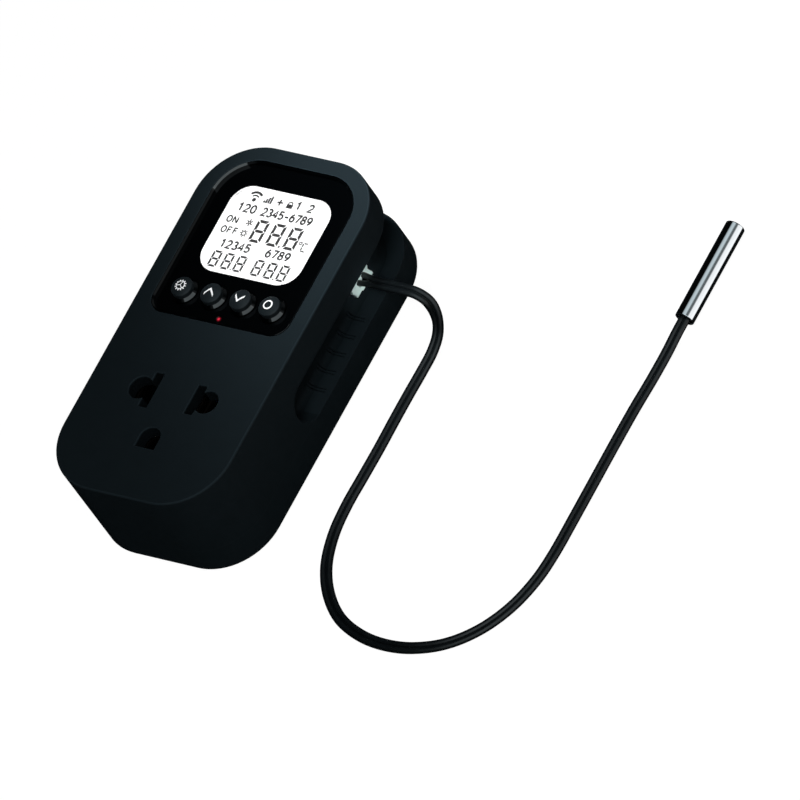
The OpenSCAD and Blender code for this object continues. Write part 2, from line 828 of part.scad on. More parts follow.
// Folded strip with three leaves: a flat blade goes between the inner two, a round pin outside.
module contact() {
    for (x = [leaf_in, leaf_mid, leaf_out]) translate([x, -leaf_w / 2, carrier_top])
        cube([leaf_t, leaf_w, leaf_top - carrier_top]);
    translate([leaf_in, -leaf_w / 2, carrier_top])
        cube([leaf_out + leaf_t - leaf_in, leaf_w, leaf_t]);
    translate([leaf_out, -contact_tab_w / 2, power_top])
        cube([leaf_t, contact_tab_w, carrier_top - power_top + leaf_t]);
}

module live_contact() { color("#c79a4b") contact(); }
module neutral_contact() { color("#c79a4b") mirror([1, 0, 0]) contact(); }

// Arched channel that grips the earth pin, open towards the bottom edge.
module earth_contact() {
    outer = earth_grip_r + earth_leaf;
    color("#c79a4b") translate([0, -earth_drop, 0]) {
        translate([0, 0, carrier_top]) linear_extrude(leaf_top - carrier_top) difference() {
            union() {
                circle(outer);
                translate([-outer, -earth_leg]) square([2 * outer, earth_leg]);
            }
            circle(earth_grip_r);
            translate([-earth_grip_r, -outer - over]) square([2 * earth_grip_r, outer + over]);
        }
        translate([-earth_tab_w / 2, earth_grip_r, power_top])
            cube([earth_tab_w, earth_leaf, carrier_top - power_top + leaf_t]);
    }
}

// Flat blade with a chamfered tip and a round hole, standing in the rear cover.
module blade() {
    point = (blade_t - blade_point_t) / 2;
    difference() {
        translate([0, blade_w / 2, 0]) rotate([90, 0, 0]) linear_extrude(blade_w) polygon([
            [-blade_point_t / 2, -blade_l], [blade_point_t / 2, -blade_l],
            [blade_t / 2, -blade_l + blade_chamfer + point], [blade_t / 2, blade_top],
            [-blade_t / 2, blade_top], [-blade_t / 2, -blade_l + blade_chamfer + point]
        ]);
        for (s = [-1, 1]) translate([0, s * blade_w / 2, -blade_l]) rotate([45, 0, 0])
            cube([blade_t + over, blade_chamfer, blade_chamfer], center = true);
        translate([-blade_t / 2 - over, 0, -blade_l + blade_hole_up]) rotate([0, 90, 0])
            cylinder(r = blade_hole_r, h = blade_t + 2 * over);
    }
}

module live_blade() { color("#c9a45a") translate([slot_x, 0, 0]) blade(); }
module neutral_blade() { color("#c9a45a") translate([-slot_x, 0, 0]) blade(); }

// Turned pin with a thinner shank and tail; its shoulder lies in a shallow recess of the cover.
module earth_pin() {
    shank_r = earth_r - earth_shank_in;
    color("#c9a45a") translate([0, -earth_drop, 0]) rotate_extrude() polygon([
        [0, -earth_l], [earth_tip_r, -earth_l], [earth_r, -earth_l + earth_point_l],
        [earth_r, 0], [shank_r, 0], [shank_r, power_low], [earth_tail_r, power_low],
        [earth_tail_r, blade_top], [0, blade_top]
    ]);
}

module sensor_board() {
    color("#2a6a45") difference() {
        translate([riser_front - board_t, header_y - riser_w / 2, power_top])
            cube([board_t, riser_w, riser_top - power_top]);
        for (s = [-1, 1]) translate([riser_front, header_y + s * contact_pitch / 2, header_z])
            cube([2 * (board_t + over), pin_w + 2 * pin_fit, pin_w + 2 * pin_fit], center = true);
    }
}

// Open box that takes the plug, with two slots in its rear wall for the plug's ribs.
module sensor_header() {
    color("#c9cfc9") translate([riser_front, header_y, header_z]) rotate([90, 0, 90]) difference() {
        translate([-header_w / 2, -header_h / 2, 0]) cube([header_w, header_h, header_l]);
        translate([-header_w / 2 + header_wall, -header_h / 2 + header_wall, header_floor])
            cube([header_w - 2 * header_wall, header_h - 2 * header_wall, header_l]);
        for (s = [-1, 1]) {
            translate([s * contact_pitch / 2 - header_slot_w / 2, -header_h / 2 - over, header_l / 2])
                cube([header_slot_w, header_wall + 2 * over, header_l]);
            translate([s * contact_pitch / 2, 0, 0])
                cube([pin_w + 2 * pin_fit, pin_w + 2 * pin_fit, 2 * (header_floor + over)],
                     center = true);
        }
    }
}

module header_pins() {
    color("#d9dcde") for (s = [-1, 1])
        translate([riser_front - board_t - pin_tail, header_y + s * contact_pitch / 2 - pin_w / 2,
                   header_z - pin_w / 2])
            cube([pin_tail + board_t + pin_reach, pin_w, pin_w]);
}

// Plug: a core in the header, and outside it a collar with a small lug on each side.
module sensor_plug() {
    collar_front = header_front + collar_gap;
    color("#b9c9c3") translate([0, header_y, header_z]) rotate([90, 0, 90]) difference() {
        union() {
            translate([-plug_core_w / 2, -plug_core_h / 2, plug_tip])
                cube([plug_core_w, plug_core_h, plug_back - plug_tip]);
            translate([-collar_w / 2, -collar_h / 2, collar_front])
                cube([collar_w, collar_h, plug_back - collar_front]);
            translate([-collar_w / 2 - lug_h, -lug_w / 2, collar_front])
                cube([collar_w + 2 * lug_h, lug_w, plug_back - collar_front]);
            translate([-lug_w / 2, -collar_h / 2 - lug_h, collar_front])
                cube([lug_w, collar_h + 2 * lug_h, plug_back - collar_front]);
        }
        for (s = [-1, 1]) translate([s * contact_pitch / 2 - crimp_w / 2 - crimp_fit / 2,
                                     -crimp_w / 2 - crimp_fit / 2, plug_tip - over])
            cube([crimp_w + crimp_fit, crimp_w + crimp_fit, crimp_l + over]);
    }
}

module plug_contacts() {
    bore = pin_w + 2 * crimp_fit;
    color("#d2b06a") for (s = [-1, 1])
        translate([plug_tip + crimp_l / 2, header_y + s * contact_pitch / 2, header_z]) difference() {
            cube([crimp_l, crimp_w, crimp_w], center = true);
            cube([crimp_l + over, bore, bore], center = true);
        }
}

// Smooth curve through the route's points: four neighbours give each stretch.
function route_at(i) = cord_route[min(max(i, 0), len(cord_route) - 1)];
function blend(a, b, c, d, t) =
    0.5 * (2 * b + (c - a) * t + (2 * a - 5 * b + 4 * c - d) * t * t
           + (3 * b - a - 3 * c + d) * t * t * t);
cord_line = [
    for (i = [0 : len(cord_route) - 2], t = [0 : cord_step_share : 1 - cord_step_share])
        blend(route_at(i - 1), route_at(i), route_at(i + 1), route_at(i + 2), t),
    cord_route[len(cord_route) - 1]
];
cord_rings = len(cord_line);
function unit(v) = v / norm(v);
// The first and last rings stand square to the faces that they meet.
function heading(k) =
    k == 0 ? [1, 0, 0] : k == cord_rings - 1 ? [0, 1, 0] : unit(cord_line[k + 1] - cord_line[k - 1]);
function side(k) = let (d = heading(k)) unit([-d[1], d[0], 0]);
function cord_ring(k) = let (s = side(k), u = cross(heading(k), s))
    [for (j = [0 : cord_sides - 1]) let (a = 360 * (j + 0.5) / cord_sides)
        cord_line[k] + s * cord_w / 2 * cos(a) / cos(180 / cord_sides)
                     + u * cord_t / 2 * sin(a) / cos(180 / cord_sides)];

module sensor_cable() {
    n = cord_sides;
    points = [for (k = [0 : cord_rings - 1]) each cord_ring(k)];
    walls = [for (k = [0 : cord_rings - 2], j = [0 : n - 1])
        each [[k * n + j, (k + 1) * n + j, k * n + (j + 1) % n],
              [(k + 1) * n + j, (k + 1) * n + (j + 1) % n, k * n + (j + 1) % n]]];
    caps = [[for (j = [0 : n - 1]) j], [for (j = [n - 1 : -1 : 0]) (cord_rings - 1) * n + j]];
    color("#101214") polyhedron(points, concat(walls, caps));
}

// Drawn sleeve with a closed, rounded tip; its mouth lies around the cord's end.
module probe_sleeve() {
    color("#c9cdd1") translate([probe_x, probe_y, probe_r]) rotate([-90, 0, 0]) rotate_extrude()
        difference() {
            union() {
                square([probe_r, probe_l - probe_round]);
                translate([0, probe_l - probe_round]) square([probe_r - probe_round, probe_round]);
                translate([probe_r - probe_round, probe_l - probe_round]) circle(probe_round);
            }
            translate([0, -over]) square([probe_r - probe_wall, probe_l - probe_wall + over]);
        }
}

module probe_seal() {
    color("#16181a") translate([probe_x, probe_y + seal_in, probe_r]) rotate([-90, 0, 0])
        cylinder(r = probe_r - probe_wall - pipe_fit, h = seal_l);
}

// Sensing bead near the tip, on two wires that come out of the seal.
module thermistor() {
    start = probe_y + seal_in + seal_l;
    bead_y = probe_y + probe_l - probe_wall - bead_in;
    color("#3b3f3a") {
        translate([probe_x, bead_y, probe_r]) sphere(r = bead_r);
        for (s = [-1, 1]) translate([probe_x + s * wire_gap / 2, start, probe_r])
            rotate([-90, 0, 0]) cylinder(r = wire_r, h = bead_y - start);
    }
}

// Screw with a cross slot, its head at the rear.
module screw(r, head_r, head_t, l) {
    difference() {
        union() {
            cylinder(r = head_r, h = head_t);
            cylinder(r = r, h = l);
        }
        for (a = [0, 90]) rotate(a)
            cube([drive_l, drive_w, 2 * drive_deep], center = true);
    }
}

module housing_screws() {
    color("#8e9194") for (s = [-1, 1], p = [boss_low, boss_top])
        translate([s * p[0], p[1], screw_sunk]) screw(screw_r, screw_head_r, screw_head_t, screw_l);
}

module board_screws() {
    color("#8e9194") for (s = [-1, 1])
        translate([s * board_screw_x, board_screw_y, board_low - board_head_t])
            screw(board_screw_r, board_head_r, board_head_t,
                  board_head_t + board_t + board_screw_in - screw_spare);
}

housing();
rear_cover();
fascia();
display_window();
lcd_glass();
lcd_backlight();
display_board();
settings_key();
up_key();
down_key();
power_key();
settings_stem();
up_stem();
down_stem();
power_stem();
key_switches();
indicator_led();
light_pipe();
radio_module();
board_link();
power_board();
relay();
transformer_core();
transformer_winding();
smoothing_capacitor();
film_capacitor();
varistor();
fuse();
socket_carrier();
live_contact();
neutral_contact();
earth_contact();
live_blade();
neutral_blade();
earth_pin();
sensor_board();
sensor_header();
header_pins();
sensor_plug();
plug_contacts();
sensor_cable();
probe_sleeve();
probe_seal();
thermistor();
housing_screws();
board_screws();
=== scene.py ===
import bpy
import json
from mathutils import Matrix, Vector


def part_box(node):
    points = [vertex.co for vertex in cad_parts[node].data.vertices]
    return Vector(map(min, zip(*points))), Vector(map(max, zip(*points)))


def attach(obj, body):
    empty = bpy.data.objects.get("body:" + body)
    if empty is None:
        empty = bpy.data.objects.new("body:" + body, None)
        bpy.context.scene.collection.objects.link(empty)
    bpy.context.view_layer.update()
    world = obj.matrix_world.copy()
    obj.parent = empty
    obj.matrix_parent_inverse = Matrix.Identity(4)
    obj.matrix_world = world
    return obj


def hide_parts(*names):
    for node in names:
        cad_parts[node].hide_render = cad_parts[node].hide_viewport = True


bl_info = {
    "name": "Plug-in Temperature Controller",
    "version": (1, 0, 0),
    "blender": (4, 5, 0),
    "location": "View3D > Sidebar > Controller",
    "description": "Dresses a plug-in temperature controller: body, display, keys and sensor lead",
    "category": "Add Mesh",
}

import json

import bmesh
import bpy
import numpy as np
from bpy.props import FloatProperty, FloatVectorProperty, PointerProperty
from bpy.types import Operator, Panel, PropertyGroup
from mathutils import Matrix, Vector
from mathutils.geometry import delaunay_2d_cdt

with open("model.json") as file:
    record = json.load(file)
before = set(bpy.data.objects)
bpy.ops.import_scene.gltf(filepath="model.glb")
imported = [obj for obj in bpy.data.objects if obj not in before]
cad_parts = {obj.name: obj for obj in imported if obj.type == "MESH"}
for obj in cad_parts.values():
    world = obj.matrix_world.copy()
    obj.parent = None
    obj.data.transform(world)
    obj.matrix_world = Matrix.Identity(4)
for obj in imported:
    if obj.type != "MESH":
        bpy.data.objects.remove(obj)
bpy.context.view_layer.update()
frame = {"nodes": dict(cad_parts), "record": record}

MM = 0.001
TURN = 2 * np.pi
# stretches of a quarter circle on an outline and on a rounded edge, and of a key's and of the
# light pipe's hole
ARC_STEPS = 16
ROUND_STEPS = 5
KEY_STEPS = 48
PIPE_STEPS = 24
KEY_NODES = ("settings_key", "up_key", "down_key", "power_key")


def corners(node):
    """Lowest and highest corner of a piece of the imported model, in metres."""
    return tuple(np.array(corner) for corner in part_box(node))


BODY_LOW, BODY_HIGH = corners("housing")
PANEL_LOW, PANEL_HIGH = corners("fascia")
LENS_LOW, LENS_HIGH = corners("display_window")
GLASS_LOW, GLASS_HIGH = corners("lcd_glass")
COVER_TOP = corners("rear_cover")[1][2]
BOARD_TOP = corners("display_board")[1][2]
HEADER_LOW, HEADER_HIGH = corners("sensor_header")
PLUG_LOW, PLUG_HIGH = corners("sensor_plug")
PROBE_LOW, PROBE_HIGH = corners("probe_sleeve")
EARTH_LOW, EARTH_HIGH = corners("earth_pin")
PIPE_CENTRE = sum(corners("light_pipe")) / 2


def srgb(code):
    """Linear red, green and blue of an sRGB hex value."""
    v = np.array([int(code[i:i + 2], 16) / 255 for i in (0, 2, 4)])
    return tuple(np.where(v <= 0.04045, v / 12.92, ((v + 0.055) / 1.055) ** 2.4).tolist())


def length(label, text, value):
    """A size that a user may change, in metres."""
    return FloatProperty(name=label, description=text, default=value, min=0.0, unit="LENGTH",
                         precision=5)


def tint(label, text, code):
    """A colour that a user may change, given as a hex value."""
    return FloatVectorProperty(name=label, description=text, default=srgb(code), subtype="COLOR",
                               min=0.0, max=1.0)


class HousingSizes(PropertyGroup):
    """Sizes of the moulded body"""
    corner: length("Corner", "Radius of the body's corners", 0.015)
    front_round: length("Front round", "Rounding round the front face", 0.0005)
    rear_round: length("Rear round", "Rounding round the rear", 0.0014)
    wall: length("Wall", "Thickness of the side walls", 0.0026)
    lip: length("Lip", "Width of the lip round the rear cover", 0.0015)
    front_wall: length("Front wall", "Thickness of the front wall", 0.0036)
    groove_depth: length("Groove depth", "Depth of the grip groove", 0.0061)
    groove_low: length("Groove height", "Height of the ledge above the rear", 0.0083)
    groove_width: length("Groove width", "Width of the grip groove", 0.0108)
    groove_start: length("Groove start", "Centre of the groove's round lower end", 0.0137)
    waist_wall: length("Waist wall", "Thickness of the wall behind the groove", 0.002)
    room_wall: length("Room wall", "Wall left beside the display", 0.0013)
    room_corner: length("Room corner", "Corner radius of the space behind the display", 0.003)
    cove: length("Cove", "Radius between the ledge and the groove's wall", 0.002)
    ledge_edge: length("Ledge edge", "Rounding of the ledge's outer edge", 0.00012)
    brow_edge: length("Brow edge", "Rounding of the overhang's outer edge", 0.0009)
    slot_first: length("First slot", "Height of the lowest slot in the ledge", 0.0194)
    slot_step: length("Slot step", "Distance from slot to slot", 0.00493)
    slot_gap: length("Slot gap", "Distance between the two cuts of a slot", 0.00076)
    slot_width: length("Cut width", "Width of one cut of a slot", 0.00024)
    slot_depth: length("Slot depth", "Depth of a slot below the ledge", 0.00035)
    slot_short: length("Slot margin", "How far a slot stops short of the side", 0.0017)
    hole_round: length("Hole round", "Rounding of the socket's openings", 0.0003)


class SocketSizes(PropertyGroup):
    """Sizes of the openings in the front face"""
    slot_gap: length("Slot gap", "Distance between the blade slots", 0.0127)
    slot_width: length("Slot width", "Width of a blade slot", 0.0024)
    neutral_slot: length("Neutral slot", "Length of the left slot", 0.0094)
    live_slot: length("Live slot", "Length of the right slot", 0.0079)
    pin_gap: length("Pin gap", "Distance between the round pin holes", 0.019)
    pin_hole: length("Pin hole", "Radius of a round pin hole", 0.003)
    earth_hole: length("Earth hole", "Radius of the earth opening's arch", 0.00275)
    earth_flat: length("Earth flat", "From the arch's centre to its flat end", 0.0028)


class PanelSizes(PropertyGroup):
    """Sizes of the glossy panel, its lens and its keys"""
    top_corner: length("Upper corners", "Radius of the panel's upper corners", 0.0105)
    low_corner: length("Lower corners", "Radius of the panel's lower corners", 0.0043)
    edge: length("Edge", "Rounding of the panel's edges", 0.0002)
    rim_width: length("Rim width", "Width of the panel's raised rim", 0.00052)
    rim_slope: length("Rim slope", "Run and rise of the rim's inner slope", 0.0004)
    rim_proud: length("Rim proud", "How far the rim stands above the face", 0.00008)
    rim_edge: length("Rim edge", "Chamfer of the rim's outer edge", 0.00003)
    lens_corner: length("Lens corners", "Corner radius of the display window", 0.0053)
    gap: length("Gap", "Gap between the panel and the housing", 0.0001)
    key_gap: length("Key gap", "Gap round a key", 0.0002)
    key_barrel: length("Key barrel", "Radius of a key above its chamfer", 0.0027)
    key_foot: length("Key foot", "Radius of a key in the panel's hole", 0.0033)
    key_dome: length("Key dome", "Rise of a key's domed top", 0.0007)
    key_rim: length("Key rim", "Rounding of a key's top edge", 0.0003)
    key_flange: length("Key flange", "Thickness of the flange that keeps a key in", 0.0007)
    key_foot_top: length("Key foot height", "Height of the top of a key's foot", 0.02725)
    pipe_hole: length("Light pipe hole", "Radius of the hole for the light pipe", 0.00065)
    ink: length("Ink", "Thickness of the printed marks", 0.00003)


class LeadSizes(PropertyGroup):
    """Sizes of the sensor lead"""
    cord_width: length("Cord width", "Width of the flat cord", 0.003)
    core: length("Core", "Diameter of one core in its jacket", 0.0015)
    web: length("Web", "Thickness of the web between the cores", 0.0005)
    probe_wall: length("Probe wall", "Wall of the steel sleeve", 0.0003)
    probe_round: length("Probe round", "Rounding of the sleeve's tip", 0.0003)


class Colours(PropertyGroup):
    """Colours of the finishes"""
    body: tint("Body", "Moulded body", "1b2327")
    panel: tint("Panel", "Glossy front panel", "020304")
    key: tint("Keys", "Domed keys", "1a2023")
    mark: tint("Marks", "Printed signs on the keys", "f4f6f7")
    display: tint("Display", "Lit display", "ffffff")
    segment: tint("Segments", "Dark segments of the display", "0a0b0c")
    indicator: tint("Indicator", "Red indicator", "f5354c")
    connector: tint("Connector", "Sensor connector", "d8efeb")
    cord: tint("Cord", "Jacket of the lead", "0c1012")
    steel: tint("Steel", "Probe sleeve", "eef2f5")
    brass: tint("Brass", "Blades and earth pin", "cda85c")


# Surfaces as grids of points

def grid(points, close_rows=False, close_cols=False):
    """Corner points and quads of a grid of points, rows first."""
    rows, cols = points.shape[:2]
    i = np.arange(rows if close_rows else rows - 1)[:, None]
    j = np.arange(cols if close_cols else cols - 1)[None]
    a = i * cols + j
    b = i * cols + (j + 1) % cols
    c = (i + 1) % rows * cols + (j + 1) % cols
    d = (i + 1) % rows * cols + j
    return points.reshape(-1, 3), np.stack([a, b, c, d], -1).reshape(-1, 4)


def revolve(profile, centre, steps=96):
    """Profile of radius and height turned round an upright axis:
    point = centre + (radius cos t, radius sin t, height), t from 0 to a whole turn."""
    t = np.arange(steps) / steps * TURN
    r, z = profile[:, :1], profile[:, 1:]
    points = np.stack([r * np.cos(t), r * np.sin(t), z + 0 * t], -1)
    return grid(points + np.asarray(centre), close_cols=True)


def soft_box(low, high, radius, steps=4):
    """Box with round edges: a sphere's normal n is spread to the corners of an inner box,
    point = centre + sign(n) * (half - radius) + radius * n."""
    low, high = np.asarray(low), np.asarray(high)
    quarter = np.linspace(0, np.pi / 2, steps + 1)
    around = np.concatenate([quarter + k * np.pi / 2 for k in range(4)])
    up = np.concatenate([quarter - np.pi / 2, quarter])
    sx = np.repeat([1, -1, -1, 1], steps + 1)
    sy = np.repeat([1, 1, -1, -1], steps + 1)
    sz = np.repeat([-1, 1], steps + 1)
    n = np.stack([np.cos(up)[:, None] * np.cos(around), np.cos(up)[:, None] * np.sin(around),
                  np.sin(up)[:, None] + 0 * around], -1)
    sign = np.stack([sx + 0 * up[:, None], sy + 0 * up[:, None], sz[:, None] + 0 * around], -1)
    body = (low + high) / 2 + sign * ((high - low) / 2 - radius) + radius * n
    caps = [np.stack([body[k][[0, steps + 1]], body[k][[3 * steps + 3, 2 * steps + 2]]])
            for k in (0, -1)]
    return [grid(body, close_cols=True), grid(caps[0][::-1]), grid(caps[1])]


def sweep(section, line, side, last=(1, 0, 0)):
    """Closed section carried along a line: point = line + side * a + up * b, where (a, b) is the
    section's point and up is square to the line's heading and to side."""
    heading = np.gradient(line, axis=0)
    heading[0], heading[-1] = (1, 0, 0), last
    heading /= np.linalg.norm(heading, axis=1, keepdims=True)
    up = np.cross(heading, side)
    return (line[:, None] + side[:, None] * section[None, :, :1]
            + up[:, None] * section[None, :, 1:])


def inside(points, loop):
    """Which points lie inside a loop, by counting the edges that a ray to the right crosses."""
    x, y = points[:, :1], points[:, 1:]
    a, b = loop, np.roll(loop, -1, axis=0)
    straddle = (a[:, 1] > y) != (b[:, 1] > y)
    rise = np.where(b[:, 1] == a[:, 1], 1.0, b[:, 1] - a[:, 1])
    cross = a[:, 0] + (y - a[:, 1]) * (b[:, 0] - a[:, 0]) / rise
    return (straddle & (x < cross)).sum(1) % 2 == 1


def inward(loop):
    """The sign that turns a loop's left normals to its inside, from its signed area."""
    x, y = loop[:, 0], loop[:, 1]
    return 1.0 if (x * np.roll(y, -1) - y * np.roll(x, -1)).sum() > 0 else -1.0


def fill(outer, holes, z):
    """Flat sheet at height z between an outline and the holes in it, as triangles."""
    loops = [outer, *holes]
    starts = np.cumsum([0] + [len(loop) for loop in loops[:-1]])
    edges = np.concatenate([
        np.stack([np.arange(len(loop)), (np.arange(len(loop)) + 1) % len(loop)], 1) + start
        for loop, start in zip(loops, starts)])
    flat = np.concatenate(loops) / MM
    found = delaunay_2d_cdt([Vector(p) for p in flat], edges.tolist(), [], 0, 1e-6)
    verts = np.array([tuple(v) for v in found[0]]) * MM
    tris = np.array(found[2])
    centres = verts[tris].mean(1)
    keep = inside(centres, outer)
    for hole in holes:
        keep &= ~inside(centres, hole)
    return np.column_stack([verts, np.full(len(verts), z)]), tris[keep]


def level(loop, z):
    """A flat loop of points lifted to height z."""
    return np.column_stack([loop, np.full(len(loop), z)])


def rim(at, face, floor, radius, sign=1, steps=ROUND_STEPS):
    """Round edge and wall of an opening (sign 1) or of a rim (sign -1), from the face down.
    at(g) is the outline grown by g; the edge is a quarter circle,
    g = radius (1 - sin a), z = face - radius (1 - cos a)."""
    a = np.linspace(0, np.pi / 2, steps + 1)
    grow = sign * radius * (1 - np.sin(a))
    down = face - radius * (1 - np.cos(a))
    rows = [level(at(g), z) for g, z in zip(grow, down)] + [level(at(0.0), floor)]
    return grid(np.stack(rows), close_cols=True)


def corner_arc(centre, radius, start, steps=ARC_STEPS):
    """A quarter circle of points, centre + radius (cos t, sin t), from an angle t that is given
    in quarter turns."""
    t = (start + np.linspace(0, 1, steps + 1)) * np.pi / 2
    return np.asarray(centre) + radius * np.column_stack([np.cos(t), np.sin(t)])


def tablet(low, high, low_r, top_r, grow=0.0, steps=ARC_STEPS):
    """Rectangle with round corners, grown by a distance: four quarter circles in a row."""
    x0, y0 = np.asarray(low)[:2]
    x1, y1 = np.asarray(high)[:2]
    return np.concatenate([
        corner_arc((x1 - low_r, y0 + low_r), low_r + grow, -1, steps),
        corner_arc((x1 - top_r, y1 - top_r), top_r + grow, 0, steps),
        corner_arc((x0 + top_r, y1 - top_r), top_r + grow, 1, steps),
        corner_arc((x0 + low_r, y0 + low_r), low_r + grow, 2, steps)])


def circle(steps):
    """Points of a circle of radius 1: (cos t, sin t), t from 0 to a whole turn."""
    t = np.arange(steps) / steps * TURN
    return np.column_stack([np.cos(t), np.sin(t)])


def ring(centre, radius, steps=64):
    """A circle of points on the face: centre + radius (cos t, sin t)."""
    return np.asarray(centre)[:2] + radius * circle(steps)


def key_centre(node):
    """Place of a key on the face."""
    low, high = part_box(node)
    return ((low[0] + high[0]) / 2, (low[1] + high[1]) / 2)


def pipe_hole(panel):
    """Outline of the light pipe's hole as a function of how far it is grown."""
    return lambda g: ring(PIPE_CENTRE, panel.pipe_hole + g, PIPE_STEPS)


def key_holes(panel):
    """Outlines of the keys' holes, each as a function of how far it is grown."""
    return [lambda g, n=node: ring(key_centre(n), panel.key_foot + panel.key_gap + g, KEY_STEPS)
            for node in KEY_NODES]


def joined(origin, disc, disc_r, low, high, grow):
    """Outline of a disc and a rectangle that overlap: from an origin inside both, each of 96 rays
    and of those through the rectangle's corners ends at the farther of its exits from the two."""
    origin, disc = np.asarray(origin), np.asarray(disc)
    low, high = np.asarray(low), np.asarray(high)
    ends = np.array([(x, y) for x in (low[0], high[0]) for y in (low[1], high[1])]) - origin
    even = np.linspace(0, TURN, 97)[:-1]
    t = np.sort(np.concatenate([even, np.arctan2(ends[:, 1], ends[:, 0]) % TURN]))
    t = t[np.concatenate([[True], np.diff(t) > 1e-4])]
    ray = np.column_stack([np.cos(t), np.sin(t)])
    off = origin - disc
    along = ray @ off
    chord = along ** 2 - off @ off + (disc_r + grow) ** 2
    far_disc = -along + np.sqrt(np.maximum(chord, 0))
    with np.errstate(divide="ignore"):
        exits = np.where(ray > 0, (high + grow - origin) / ray, (low - grow - origin) / ray)
    far_box = np.where(np.isfinite(exits), exits, np.inf).min(1)
    return origin + ray * np.maximum(far_disc, far_box)[:, None]


def arc(centre, radius, start, end, steps):
    """Points of an arc, centre + radius (cos t, sin t), its angles in degrees. An ellipse takes
    a pair of radii."""
    t = np.radians(np.linspace(start, end, steps + 1))
    return np.asarray(centre) + radius * np.column_stack([np.cos(t), np.sin(t)])


def band(left, right, high, low, closed=False):
    """Raised stroke between two lines of points: four corners at each station, joined along the
    stroke. high and low give its top and underside at points of the face."""
    sides = ((left, high), (right, high), (right, low), (left, low))
    rows = np.stack([np.column_stack([line, height(line)]) for line, height in sides], 1)
    patches = [grid(rows, close_rows=closed, close_cols=True)]
    if not closed:
        patches += [grid(rows[k][[0, 1, 3, 2]].reshape(2, 2, 3)) for k in (0, -1)]
    return patches


def piece(name, patches, material, body, replaced=(), crease=40.0, weld=2e-7,
          smooth=True):
    """Makes one object of the patches, welded where their points meet, and puts it on a body.
    Edges that turn by more than the crease, in degrees, stay sharp."""
    points, faces, start = [], [], 0
    for verts, polys in patches:
        points.append(verts)
        faces += (polys + start).tolist()
        start += len(verts)
    mesh = bpy.data.meshes.new(name)
    mesh.from_pydata(np.concatenate(points).tolist(), [], faces)
    bm = bmesh.new()
    bm.from_mesh(mesh)
    bmesh.ops.delete(bm, geom=[v for v in bm.verts if not v.link_faces], context="VERTS")
    bmesh.ops.remove_doubles(bm, verts=bm.verts, dist=weld)
    bmesh.ops.dissolve_degenerate(bm, edges=bm.edges, dist=weld)
    bmesh.ops.recalc_face_normals(bm, faces=bm.faces)
    limit = np.radians(crease)
    for edge in bm.edges:
        edge.smooth = len(edge.link_faces) != 2 or edge.calc_face_angle(0.0) < limit
    for face in bm.faces:
        face.smooth = smooth
    bm.to_mesh(mesh)
    bm.free()
    mesh.materials.append(material)
    obj = bpy.data.objects.new(name, mesh)
    bpy.context.scene.collection.objects.link(obj)
    if smooth:
        even = obj.modifiers.new("Even normals", "WEIGHTED_NORMAL")
        even.keep_sharp = True
    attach(obj, body)
    if replaced:
        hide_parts(*replaced)
    return obj


# Materials

def add(tree, kind, settings=(), links=()):
    """Adds a shader node, with its settings by name or socket, and its inputs linked to sockets
    or to the first output of nodes."""
    node = tree.nodes.new("ShaderNode" + kind)
    for key, value in dict(settings).items():
        if isinstance(key, int) or key in node.inputs:
            node.inputs[key].default_value = value
        else:
            setattr(node, key, value)
    for key, source in dict(links).items():
        socket = source.outputs[0] if isinstance(source, bpy.types.Node) else source
        tree.links.new(socket, node.inputs[key])
    return node


def blank(name):
    """A new material, its empty node tree and the coordinates on the object."""
    material = bpy.data.materials.new(name)
    material.use_nodes = True
    tree = material.node_tree
    tree.nodes.clear()
    return material, tree, add(tree, "TexCoord").outputs["Object"]


def shown(material, tree, shader):
    """The material with its shader linked to its output."""
    add(tree, "OutputMaterial", {}, {"Surface": shader})
    return material


def rgba(colour, share=1.0):
    """A colour scaled by a share, opaque."""
    return (colour[0] * share, colour[1] * share, colour[2] * share, 1.0)


# size of the slow noise in a solid finish
MOTTLE = 4 * MM


def surface(name, colour, rough, grain, relief, spread=0.15, stretch=(1, 1, 1), share=None,
            **settings):
    """Shader for a solid finish. Noise of the grain's size, in millimetres, gives relief of that
    depth; slower noise shifts the colour by spread and the roughness between its two values. Of the
    tree and a place on the object, share makes a factor for the colour there, which lays painted
    light and shade on the housing."""
    material, tree, coords = blank(name)
    place = add(tree, "Mapping", {"Scale": stretch}, {"Vector": coords})
    fine = add(tree, "TexNoise", {"Scale": 1 / (grain * MM), "Detail": 3.0}, {"Vector": place})
    slow = add(tree, "TexNoise", {"Scale": 1 / MOTTLE, "Detail": 4.0}, {"Vector": place})
    both = add(tree, "Mix", {"data_type": "FLOAT", 0: 0.4},
               {2: fine.outputs["Fac"], 3: slow.outputs["Fac"]})
    shade = add(tree, "Mix",
                {"data_type": "RGBA", 6: rgba(colour, 1 - spread), 7: rgba(colour, 1 + spread)},
                {0: both})
    gloss = add(tree, "MapRange",
                {"From Min": 0.3, "From Max": 0.7, "To Min": rough[0], "To Max": rough[1]},
                {"Value": slow.outputs["Fac"]})
    bump = add(tree, "Bump", {"Strength": 1.0, "Distance": relief * MM},
               {"Height": fine.outputs["Fac"]})
    base = shade.outputs[2]
    if share:
        base = add(tree, "VectorMath", {"operation": "SCALE"},
                   {0: base, "Scale": share(tree, coords)})
    shader = add(tree, "BsdfPrincipled", settings,
                 {"Base Color": base, "Roughness": gloss, "Normal": bump})
    return shown(material, tree, shader)


# painted light and shade on the body, as shares of its colour: a painted highlight on the rounding
# of the front face, painted light on the grip's ledge and painted shade on the walls of the
# socket's openings
PAINTED_EDGE_HIGHLIGHT = 0.75
PAINTED_LEDGE_LIGHT = 0.45
PAINTED_OPENING_SHADE = 0.55
# half the distance over which these shares come or go
SHARE_FADE = 0.05 * MM
# where the middle of the openings is, and between which two distances from it their painted shade
# goes
OPENINGS_MIDDLE = -4 * MM
OPENINGS_REACH = 15.5 * MM, 16 * MM


